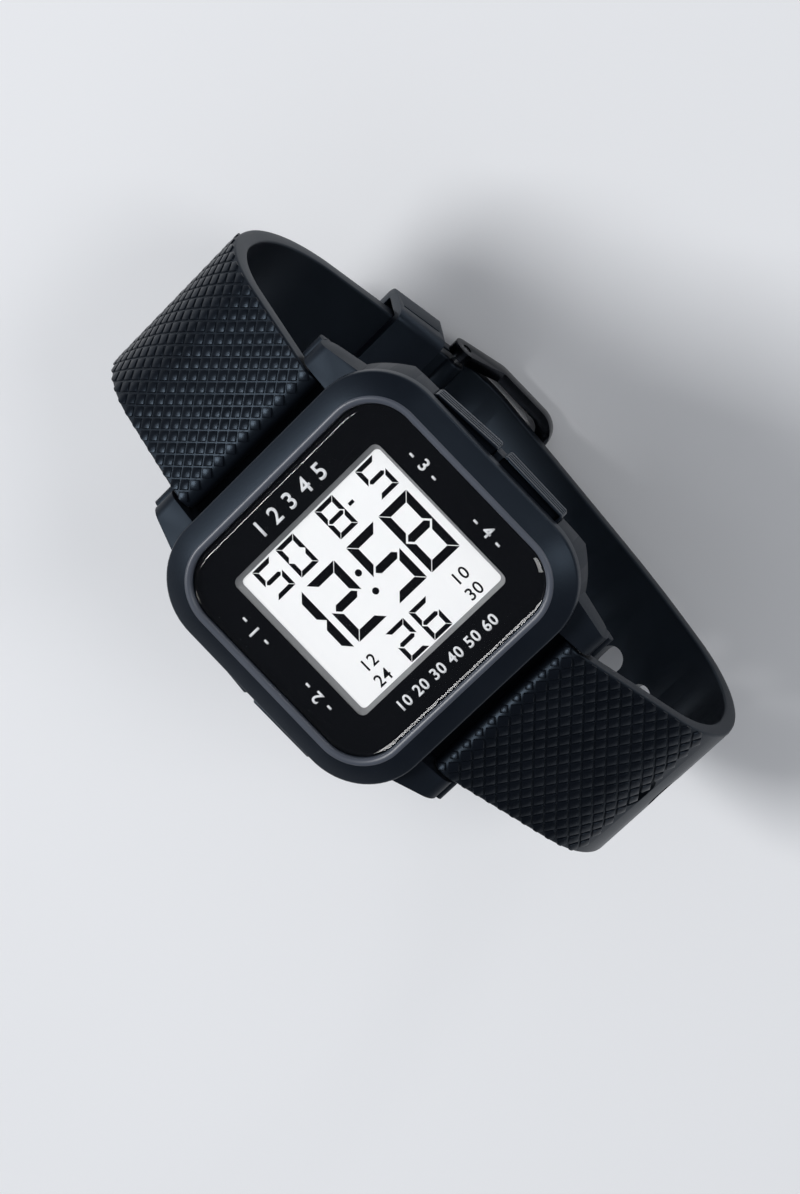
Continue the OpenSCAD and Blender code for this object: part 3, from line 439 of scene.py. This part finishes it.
def makeBezel(v):
    def inside(size, step):
        return size[0] - 2 * step, size[1] - 2 * step, size[2] - step

    outer = (v["width"], v["length"], v["corner"])
    ridge = (v["ridgeWidth"], v["ridgeLength"], v["ridgeCorner"])
    hole = (v["holeWidth"], v["holeLength"], v["holeCorner"])
    ledge = inside(hole, v["ledgeWidth"])
    under = (*inside(ridge, v["rimGap"]), v["seat"])
    side = [(*inside(outer, step), v["shoulder"] + depth) for step, depth in v["round"]]
    ring = stacked(
        [
            (*outer, v["foot"]), *side, (*ridge, v["bead"][0][1]), under, (*hole, v["seat"]),
            (*hole, v["ledge"]), (*ledge, v["ledge"]), (*ledge, v["foot"]),
        ],
        closed=True,
    )
    smooth(ring, 40)
    finished(ring, "bezel_ring", "watch", resin, ["bezel"])
    bead = [(*inside(ridge, step), depth) for step, depth in v["bead"]]
    last = v["bead"][-1][0]
    # The bead gets the lighter rim colour, which partly paints its highlight
    rim = stacked(bead + [(*inside(ridge, last), v["seat"]), under], closed=True)
    smooth(rim, 50)
    finished(rim, "glass_rim", "watch", rimToneAndPaintedHighlight)


makeBezel(bezelValues)
print("bezel made")

glassValues = {
    "width": 33.7, "length": 30.6, "corner": 5.4, "top": 0.3, "side": 0.6, "foot": 1.48, "bevel": 0.65,
    "softness": 0.06, "step": 0.3, "paintGap": 0.012, "paint": 0.01, "paintWidth": 1.4,
}


def makeGlass(v):
    full = (v["width"], v["length"], v["corner"])
    inner = (v["width"] - 2 * v["bevel"], v["length"] - 2 * v["bevel"], v["corner"] - v["bevel"])
    # A narrow step round both wide faces keeps them flat in their shading
    under, over = [
        (size[0] - 2 * v["step"], size[1] - 2 * v["step"], size[2] - v["step"]) for size in (full, inner)
    ]
    pane = stacked(
        [(*under, v["foot"]), (*full, v["foot"]), (*full, v["side"]), (*inner, v["top"]), (*over, v["top"])],
        capFirst=True, capLast=True,
    )
    roundEdges(pane, v["softness"], segments=2, angle=15)
    smooth(pane, 30)
    return finished(pane, "crystal", "watch", glass, ["glass"])


def makeEdgePaint(v):
    # Black print that runs on over the glass's rim, so that nothing pale shows under the bevel
    def grown(step):
        return v["width"] + 2 * step, v["length"] + 2 * step, v["corner"] + step

    under = v["foot"] + v["paintGap"]
    ring = stacked([
        (*grown(v["paintGap"]), v["side"]), (*grown(v["paintGap"]), under), (*grown(-v["paintWidth"]), under),
    ])
    addModifier(ring, "SOLIDIFY", thickness=v["paint"] * mm, offset=0)
    return finished(ring, "edge_paint", "watch", maskInk)


makeGlass(glassValues)
makeEdgePaint(glassValues)
print("glass made")


# ---- rigid moulded and metal parts, with softened edges

def softened(node, width, segments=3, angle=28):
    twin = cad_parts[node].copy()
    twin.data = twin.data.copy()
    twin.parent = None
    for key in list(twin.keys()):
        del twin[key]
    scene.collection.objects.link(twin)
    editing(twin)
    bpy.ops.mesh.select_all(action="SELECT")
    bpy.ops.mesh.remove_doubles(threshold=0.0005 * mm)
    bpy.ops.mesh.dissolve_limited(angle_limit=math.radians(0.4))
    # The wall round the button pockets is split, or its face would close over them
    bpy.ops.mesh.select_all(action="SELECT")
    bpy.ops.mesh.vert_connect_concave()
    objectMode()
    roundEdges(twin, width, segments, angle)
    smooth(twin, 40)
    return twin


softParts = {
    "case_shell": ("case", "watch", caseResin, "resin", 0.18),
    "light_cap": ("light_button", "light_pusher", buttonResin, "button_resin", 0.1),
    "mode_cap": ("mode_button", "mode_pusher", buttonResin, "button_resin", 0.1),
    "start_cap": ("start_button", "start_pusher", buttonResin, "button_resin", 0.1),
    "reset_cap": ("reset_button", "reset_pusher", buttonResin, "button_resin", 0.1),
    "keeper_loop": ("keeper", "strap_keeper", keeperResin, "strap_resin", 0.25),
    "buckle_rails": ("buckle_frame", "buckle", blackSteel, "black_steel", 0.35),
    "buckle_prong": ("buckle_tongue", "tongue", blackSteel, "black_steel", 0.18),
}
for name, (node, body, material, slot, width) in softParts.items():
    finished(softened(node, width), name, body, material, [node])
print("rigid parts softened")


# ---- strap, swept from one cross-section

def rise(heading):
    return Vector((0, math.cos(math.radians(heading)), -math.sin(math.radians(heading))))


def outside(heading):
    return Vector((0, math.sin(math.radians(heading)), math.cos(math.radians(heading))))


strapValues = {
    "width": 22.0, "corner": 0.3, "barY": 21.5, "barZ": 5.6, "knuckle": 1.6, "bore": 0.8, "halfThick": 0.95,
    "through": 30.0,
}
buckleHalf = {
    "thickness": 2.0, "lead": 28.0, "side": 1, "softness": 0.1, "pinBoss": 1.45, "pinBore": 0.63,
    # Cut for the tongue, round the pin
    "slotWidth": 3.8, "slotSize": 8.0, "slotShift": 1.6, "slotRound": 0.5,
    "steps": [(12.3,), (11.4, 62.0), (1.0,), (16.6, 60.0), (20.3,)],
}
holeHalf = {
    "thickness": 1.8, "lead": 34.0, "side": -1, "softness": 0.12, "tip": 8.0,
    "tipTurns": (0, 15, 30, 44, 57, 68, 78, 86),
    "steps": [
        (16.3,), (12.8, 56.0), (1.0,), (14.2, 65.0), (1.0,), (79.0, 11.0), (22.772,), (13.0, 44.0), (15.5,),
    ],
    "holes": {"first": 89.06, "count": 14, "before": 2, "pitch": 6.2, "width": 4.8, "length": 3.4},
}


def routeOf(half, values):
    # Points along the middle of a strap half, drawn outwards from its spring bar
    bar = Vector((0, values["barY"], -values["barZ"]))
    start = bar + (values["knuckle"] - half["thickness"] / 2) * outside(half["lead"])
    route = []
    point, heading, done = start, half["lead"], 0.0
    for step in half["steps"]:
        length = step[0] if len(step) == 1 else math.radians(step[1]) * step[0]
        route.append((done, length, point, heading, step))
        if len(step) == 1:
            point = point + length * rise(heading)
        else:
            point = point + step[0] * (outside(heading + step[1]) - outside(heading))
            heading += step[1]
        done += length
    return route, point, heading, done


def spotOn(route, s):
    if s < 0:
        # On the round end, before the strap leaves it
        done, length, point, heading, step = route[0]
        turned = heading + math.degrees(s / strapValues["knuckle"])
        radius = strapValues["knuckle"] - strapValues["halfThick"]
        return point + radius * (outside(turned) - outside(heading)), turned
    for done, length, point, heading, step in route:
        if s <= done + length or (done, length, point, heading, step) == route[-1]:
            if len(step) == 1:
                return point + (s - done) * rise(heading), heading
            turned = heading + math.degrees((s - done) / step[0])
            return point + step[0] * (outside(turned) - outside(heading)), turned


def placed(point, side):
    return Vector((point.x, side * point.y, point.z)) * mm + Vector((0, faceY, faceZ))


def sweep(half, v):
    route, end, heading, total = routeOf(half, v)
    side = half["side"]
    lead = math.radians(half["lead"])
    tilt = math.atan2(-side * math.cos(lead), -math.sin(lead))
    deselect()
    bpy.ops.mesh.primitive_plane_add(size=1, location=placed(route[0][2], side), rotation=(tilt, 0, 0))
    strap = bpy.context.active_object
    strap.scale = (v["width"] * mm, half["thickness"] * mm, 1)
    freeze(strap)
    editing(strap, "VERT")
    bpy.ops.mesh.select_all(action="SELECT")
    bpy.ops.mesh.bevel(offset=v["corner"] * mm, segments=4, affect="VERTICES")
    bpy.ops.mesh.select_mode(type="FACE")
    for done, length, point, heading, step in route:
        here = placed(point, side)
        pick("faces", lambda f: (f.calc_center_median() - here).length < 0.02 * mm)
        if len(step) == 1:
            run = step[0] - half.get("tip", 0) * (done + length > total - 0.01)
            move = placed(point + run * rise(heading), side) - here
            bpy.ops.mesh.extrude_region_move(TRANSFORM_OT_translate={"value": move})
        else:
            centre = placed(point - step[0] * outside(heading), side)
            bpy.ops.mesh.spin(
                steps=max(4, round(step[1] / 3)), angle=math.radians(side * step[1]), center=centre,
                axis=(1, 0, 0), dupli=False,
            )
    if half.get("tip"):
        # Rounded end, drawn out in steps that narrow
        for before, after in zip(half["tipTurns"], half["tipTurns"][1:]):
            grown = half["tip"] * (math.sin(math.radians(after)) - math.sin(math.radians(before)))
            move = placed(grown * rise(heading), side) - placed(Vector((0, 0, 0)), side)
            bpy.ops.mesh.extrude_region_move(TRANSFORM_OT_translate={"value": move})
            narrow = math.cos(math.radians(after)) / math.cos(math.radians(before))
            bpy.ops.transform.resize(value=(narrow, 1, 1), center_override=(0, 0, 0))
    objectMode()
    outwards(strap)
    return strap


def rod(at, radius, length, side, vertices=48):
    deselect()
    bpy.ops.mesh.primitive_cylinder_add(
        vertices=vertices, radius=radius * mm, depth=length * mm, location=placed(at, side),
        rotation=(0, math.pi / 2, 0),
    )
    return freeze(bpy.context.active_object)


def knuckle(at, radius, v, side):
    roll = rod(at, radius, v["width"], side, vertices=64)
    roundEdges(roll, v["corner"], segments=3, angle=60)
    return roll


def slotCutter(point, heading, side, hole):
    # Oblong plug that cuts one adjusting hole
    deselect()
    bpy.ops.mesh.primitive_cylinder_add(vertices=48, radius=hole["length"] / 2 * mm, depth=6 * mm)
    plug = bpy.context.active_object
    editing(plug, "VERT")
    for direction in (-1, 1):
        pick("verts", lambda v: v.co.x * direction > 1e-6)
        bpy.ops.transform.translate(value=(direction * (hole["width"] - hole["length"]) / 2 * mm, 0, 0))
    objectMode()
    plug.data.transform(standing(point, heading, side))
    return plug


def standing(point, heading, side, lift=0.0):
    # Turns something made upright at the origin to stand on the strap at one spot
    along = placed(rise(heading), side) - placed(Vector(), side)
    up = placed(outside(heading), side) - placed(Vector(), side)
    along.normalize()
    up.normalize()
    across = along.cross(up)
    spot = placed(point + lift * outside(heading), side)
    return Matrix((
        (across.x, along.x, up.x, spot.x), (across.y, along.y, up.y, spot.y),
        (across.z, along.z, up.z, spot.z), (0, 0, 0, 1),
    ))


def makeBuckleHalf(half, v):
    strap = sweep(half, v)
    end, heading = routeOf(half, v)[1:3]
    bar = Vector((0, v["barY"], -v["barZ"]))
    pin = end - (half["pinBoss"] - half["thickness"] / 2) * outside(heading)
    boolean(strap, knuckle(bar, v["knuckle"], v, 1), "UNION")
    boolean(strap, knuckle(pin, half["pinBoss"], v, 1), "UNION")
    deselect()
    bpy.ops.mesh.primitive_cube_add(size=1)
    gap = bpy.context.active_object
    gap.scale = (half["slotWidth"] * mm, half["slotSize"] * mm, half["slotSize"] * mm)
    gap.location = (0, half["slotShift"] * mm, 0)
    freeze(gap)
    roundEdges(gap, half["slotRound"])
    gap.data.transform(standing(pin, heading, 1))
    boolean(strap, gap)
    boolean(strap, rod(bar, v["bore"], v["through"], 1))
    boolean(strap, rod(pin, half["pinBore"], v["through"], 1))
    roundEdges(strap, half["softness"], segments=2, angle=50)
    smooth(strap)
    return finished(strap, "strap_12", "watch", strapResin, ["strap_buckle_half"])


def makeHoleHalf(half, v):
    strap = sweep(half, v)
    route = routeOf(half, v)[0]
    bar = Vector((0, v["barY"], -v["barZ"]))
    boolean(strap, knuckle(bar, v["knuckle"], v, -1), "UNION")
    hole = half["holes"]
    plugs = []
    for i in range(-hole["before"], hole["count"] - hole["before"]):
        point, heading = spotOn(route, hole["first"] - i * hole["pitch"])
        plugs.append(slotCutter(point, heading, -1, hole))
    boolean(strap, joined(plugs))
    boolean(strap, rod(bar, v["bore"], v["through"], -1))
    roundEdges(strap, half["softness"], segments=2, angle=50)
    smooth(strap)
    return finished(strap, "strap_6", "watch", strapResin, ["strap_hole_half"])


makeBuckleHalf(buckleHalf, strapValues)
makeHoleHalf(holeHalf, strapValues)
print("strap halves made")

padValues = {
    "pitch": 2.07, "halfWidth": 0.97, "halfLength": 0.89, "topShare": 0.85, "height": 0.24, "sunk": 0.06,
    "softness": 0.09, "inset": 0.3, "crown": 0.05, "edge": 10.85, "columns": 6, "overhang": 0.3,
    # Place of the first row along the strap, distance between rows and number of rows
    "rows12": (-0.6, 0.95, 28), "rows6": (-1.5, 0.98, 24),
    # The first row's bumps are rounder, and on the 6 o'clock half smaller
    "firstSoftness": 0.22, "firstSize12": 1.0, "firstSize6": 0.8,
}


def makePad(v, size, softness):
    deselect()
    bpy.ops.mesh.primitive_cone_add(
        vertices=4, radius1=1 * mm, radius2=v["topShare"] * mm, depth=v["height"] * mm,
        location=(0, 0, v["height"] / 2 * mm),
    )
    pad = bpy.context.active_object
    pad.scale = (v["halfWidth"] * size, v["halfLength"] * size, 1)
    freeze(pad)
    roundEdges(pad, softness, segments=2, angle=30)
    # Crowned top
    editing(pad)
    pick("faces", lambda f: f.normal.z > 0.99)
    bpy.ops.mesh.inset(thickness=v["inset"] * size * mm)
    bpy.ops.transform.translate(value=(0, 0, v["crown"] * mm))
    objectMode()
    return pad


def makePads(name, half, rows, firstSize, v, strap):
    route = routeOf(half, strap)[0]
    start, pitch, count = rows
    pad = makePad(v, 1.0, v["softness"])
    firstPad = makePad(v, firstSize, v["firstSoftness"])
    pads = []
    for row in range(count):
        point, heading = spotOn(route, start + row * pitch)
        stand = standing(point, heading, half["side"], half["thickness"] / 2 - v["sunk"])
        shift = 0.5 * (row % 2)
        for column in range(-v["columns"], v["columns"] + 1):
            x = (column + shift) * v["pitch"]
            if abs(x) < strap["width"] / 2 + v["overhang"]:
                pads.append(copied(pad if row else firstPad, stand @ Matrix.Translation((x * mm, 0, 0))))
    bpy.data.objects.remove(pad)
    bpy.data.objects.remove(firstPad)
    field = joined(pads)
    for direction in (-1, 1):
        editing(field)
        bpy.ops.mesh.select_all(action="SELECT")
        bpy.ops.mesh.bisect(
            plane_co=(direction * v["edge"] * mm, 0, 0), plane_no=(direction, 0, 0),
            clear_outer=True, use_fill=True,
        )
        objectMode()
    smooth(field, 30)
    return finished(field, name, "watch", padResin)


for name, half, end in (("strap_pads_12", buckleHalf, "12"), ("strap_pads_6", holeHalf, "6")):
    makePads(name, half, padValues["rows" + end], padValues["firstSize" + end], padValues, strapValues)
print("strap pads made")


# ---- display and print

def flatPlate(obj, thickness):
    # Gives a flat shape, which lies at its foot, a thickness
    addModifier(obj, "SOLIDIFY", thickness=thickness * mm, offset=1)
    return obj


def atFace(x, y, depth, turn=0):
    place = Matrix.Translation((x * mm, faceY + y * mm, faceZ - depth * mm))
    return place @ Matrix.Rotation(math.radians(turn), 4, "Z")


tiny = 1e-7


def segmentShape(length, thick, middle):
    # Outer segments are trapezoids, the middle one has two points
    deselect()
    bpy.ops.mesh.primitive_plane_add(size=1)
    bar = bpy.context.active_object
    bar.scale = (length * mm, thick * mm, 1)
    freeze(bar)
    editing(bar, "EDGE")
    if middle:
        pick("edges", lambda e: abs(e.verts[0].co.x - e.verts[1].co.x) < tiny)
        bpy.ops.mesh.subdivide(number_cuts=1)
        bpy.ops.mesh.select_mode(type="VERT")
        pick("verts", lambda v: abs(v.co.y) > tiny)
    else:
        pick("edges", lambda e: e.verts[0].co.y < -tiny and e.verts[1].co.y < -tiny)
    inset = thick / 2 if middle else thick
    bpy.ops.transform.resize(value=((length - 2 * inset) / length, 1, 1), center_override=(0, 0, 0))
    objectMode()
    return bar


digitSegments = {
    "0": "abcdef", "1": "bc", "2": "abged", "5": "afgcd", "6": "afgedc",
    "8": "abcdefg",
}
# Shares of a segment's thickness: the uprights are longer by the first, the middle one is
# shorter by the second, and the uprights lie nearer to the middle by the third
digitShares = {"upright": 0.25, "middle": 0.9, "shift": 0.12}


def digit(glyph, x, y, size):
    width, height, thick, gap = size["width"], size["height"], size["thick"], size["gap"]
    half = height / 2
    outer = segmentShape(width - gap * 2, thick, False)
    upright = segmentShape(half - gap * 2 + thick * digitShares["upright"], thick, False)
    middle = segmentShape(width - thick * digitShares["middle"] - gap * 2, thick, True)
    reachX, reachY = width / 2 - thick / 2, half / 2 - thick * digitShares["shift"]
    places = {
        "a": (outer, 0, half - thick / 2, 0), "d": (outer, 0, -half + thick / 2, 180), "g": (middle, 0, 0, 0),
        "f": (upright, -reachX, reachY, 90), "e": (upright, -reachX, -reachY, 90),
        "b": (upright, reachX, reachY, -90), "c": (upright, reachX, -reachY, -90),
    }
    made = []
    for key in digitSegments[glyph]:
        shape, dx, dy, turn = places[key]
        place = Matrix.Translation((dx * mm, dy * mm, 0)) @ Matrix.Rotation(math.radians(turn), 4, "Z")
        made.append(copied(shape, place))
    for shape in (outer, upright, middle):
        bpy.data.objects.remove(shape)
    whole = joined(made)
    whole.data.transform(atFace(x, y, displayValues["depth"]))
    return whole


displayValues = {
    "depth": 2.349, "ink": 0.016,
    "clock": {"height": 8.7, "width": 4.65, "thick": 1.02, "gap": 0.07},
    "clockRow": [("1", -9.4), ("2", -3.91), ("5", 2.8), ("8", 8.2)], "clockY": 0.14,
    "small": {"height": 4.35, "width": 2.95, "thick": 0.55, "gap": 0.05},
    "topRow": [("5", -8.4), ("0", -4.4), ("8", 2.22), ("5", 9.02)], "topY": 7.72,
    "lowRow": [("2", -1.85), ("6", 2.0)], "lowY": -7.78,
    "dots": [(-0.5, 1.5), (-0.5, -1.31)], "dotRadius": 0.42, "dash": (4.72, 7.72), "dashSize": (0.75, 0.42),
}


def makeDigits(v):
    parts = []
    for row, size in (("clock", "clock"), ("top", "small"), ("low", "small")):
        for glyph, x in v[row + "Row"]:
            parts.append(digit(glyph, x, v[row + "Y"], v[size]))
    for x, y in v["dots"]:
        deselect()
        bpy.ops.mesh.primitive_circle_add(vertices=32, radius=v["dotRadius"] * mm, fill_type="NGON")
        dot = bpy.context.active_object
        dot.data.transform(atFace(x, y, v["depth"]))
        parts.append(dot)
    deselect()
    bpy.ops.mesh.primitive_plane_add(size=1)
    dash = bpy.context.active_object
    dash.data.transform(Matrix.Diagonal((v["dashSize"][0] * mm, v["dashSize"][1] * mm, 1, 1)))
    dash.data.transform(atFace(*v["dash"], v["depth"]))
    parts.append(dash)
    whole = flatPlate(joined(parts), v["ink"])
    outwards(whole)
    return finished(whole, "display_digits", "watch", digitInk)


makeDigits(displayValues)


def numerals(text, size, x, y, depth, turn, spread, thick):
    # Plain numerals, made a mesh before they are put in place
    deselect()
    bpy.ops.object.text_add()
    word = bpy.context.active_object
    word.data.body = text
    word.data.size = size * mm
    word.data.offset = thick * mm
    word.data.space_character = spread
    word.data.align_x = "CENTER"
    word.data.align_y = "CENTER"
    word.data.resolution_u = 6
    bpy.ops.object.convert(target="MESH")
    word = bpy.context.active_object
    word.data.transform(atFace(x, y, depth, turn))
    return word


printValues = {
    "ink": 0.012, "depth": 1.497, "thick": 0.045, "flagSize": 2.1, "flagSpread": 1.1, "flagThick": 0.02,
    "marks": [
        ("1 2 3 4 5", 2.85, -0.1, 12.62, 0, 1.1), ("10 20 30 40 50 60", 1.9, 0.0, -12.75, 0, 1.14),
        ("- 1 -", 2.1, -14.27, 4.89, 90, 1.15), ("- 2 -", 2.1, -14.27, -5.45, 90, 1.15),
        ("- 3 -", 2.1, 14.27, 5.0, -90, 1.15), ("- 4 -", 2.1, 14.27, -5.25, -90, 1.15),
    ],
    "flags": [("12", -7.12, -6.71), ("24", -7.12, -9.02), ("10", 8.05, -6.71), ("30", 8.05, -9.02)],
}


def makePrint(v):
    marks = [
        numerals(text, size, x, y, v["depth"], turn, spread, v["thick"])
        for text, size, x, y, turn, spread in v["marks"]
    ]
    whole = flatPlate(joined(marks), v["ink"])
    finished(whole, "border_print", "watch", printInk)
    flags = [
        numerals(text, v["flagSize"], x, y, displayValues["depth"], 0, v["flagSpread"], v["flagThick"])
        for text, x, y in v["flags"]
    ]
    finished(flatPlate(joined(flags), displayValues["ink"]), "display_flags", "watch", digitInk)


makePrint(printValues)
print("display and print made")


# ---- stage, light and camera

def paleSurface(name, seen, lit):
    # The camera and mirrors see a pale tone, while other light bounces from a duller one
    material, tree, surface = newMaterial(name)
    path = addNode(tree, "ShaderNodeLightPath")
    either = counted(tree, "MAXIMUM", path.outputs["Is Camera Ray"], path.outputs["Is Glossy Ray"])
    tree.links.new(blended(tree, either, (*lit, 1), (*seen, 1)), surface.inputs["Base Color"])
    surface.inputs["Roughness"].default_value = 0.8
    surface.inputs["Specular IOR Level"].default_value = 0.1
    return material


stageValues = {
    "pale": (0.8, 0.81, 0.83), "floorLit": (0.62, 0.63, 0.65),
    # The world is pale at the horizon and dark above it for mirrors and the camera, and even for other light
    "horizon": (0.02, 0.2), "dark": (0.05, 0.055, 0.065), "worldLit": (0.3, 0.31, 0.33),
}


def makeStage():
    deselect()
    bpy.ops.mesh.primitive_plane_add(size=6, location=(0, 0, 0))
    floor = bpy.context.active_object
    floor.name = floor.data.name = "floor"
    floor.data.materials.append(paleSurface("paleFloor", stageValues["pale"], stageValues["floorLit"]))


def makeWorld():
    world = bpy.data.worlds.new("studio")
    scene.world = world
    world.use_nodes = True
    tree = world.node_tree
    sky = tree.nodes["Background"]
    path = addNode(tree, "ShaderNodeLightPath")
    seen = counted(tree, "MAXIMUM", path.outputs["Is Camera Ray"], path.outputs["Is Transmission Ray"])
    either = counted(tree, "MAXIMUM", seen, path.outputs["Is Glossy Ray"])
    place = addNode(tree, "ShaderNodeTexCoord").outputs["Generated"]
    split = addNode(tree, "ShaderNodeSeparateXYZ", {"Vector": place})
    height = mapped(tree, split.outputs["Z"], *stageValues["horizon"])
    backdrop = blended(tree, height, (*stageValues["pale"], 1), (*stageValues["dark"], 1))
    tree.links.new(blended(tree, either, (*stageValues["worldLit"], 1), backdrop), sky.inputs["Color"])


def softLight(name, location, size, power):
    deselect()
    bpy.ops.object.light_add(type="AREA", location=location)
    lamp = bpy.context.active_object
    lamp.name = name
    lamp.data.shape = "RECTANGLE"
    lamp.data.size = lamp.data.size_y = size
    lamp.data.energy = power
    aim = Vector((0, 0, 0.03)) - Vector(location)
    lamp.rotation_euler = aim.to_track_quat("-Z", "Y").to_euler()


cameraValues = {
    "tilt": 21.0, "roll": 43.8, "distance": 400.0, "right": 1.264, "along": -3.70, "lens": 107.3, "aim": 1.3,
}


def makeCamera(v):
    tilt, roll = math.radians(v["tilt"]), math.radians(v["roll"])
    side = Vector((math.cos(tilt), 0, -math.sin(tilt)))
    length = Vector((0, 1, 0))
    back = Vector((math.sin(tilt), 0, math.cos(tilt)))
    right = math.cos(roll) * side - math.sin(roll) * length
    up = math.sin(roll) * side + math.cos(roll) * length
    aim = Vector((0, faceY, faceZ - v["aim"] * mm))
    spot = aim + (v["distance"] * back + v["right"] * side + v["along"] * length) * mm
    deselect()
    bpy.ops.object.camera_add()
    camera = bpy.context.active_object
    camera.matrix_world = Matrix((
        (right.x, up.x, back.x, spot.x), (right.y, up.y, back.y, spot.y), (right.z, up.z, back.z, spot.z),
        (0, 0, 0, 1),
    ))
    camera.data.lens = v["lens"]
    camera.data.sensor_width = 36
    camera.data.clip_start = 0.01
    scene.camera = camera


makeStage()
makeWorld()
softLight("key", (-0.38, 0.53, 0.9), 0.4, 7.9)
softLight("side", (0.52, -0.36, 0.83), 0.3, 1.8)
softLight("low", (0.98, 0.05, 0.36), 0.15, 0.8)
makeCamera(cameraValues)
scene.view_settings.view_transform = "Standard"
print("stage made")
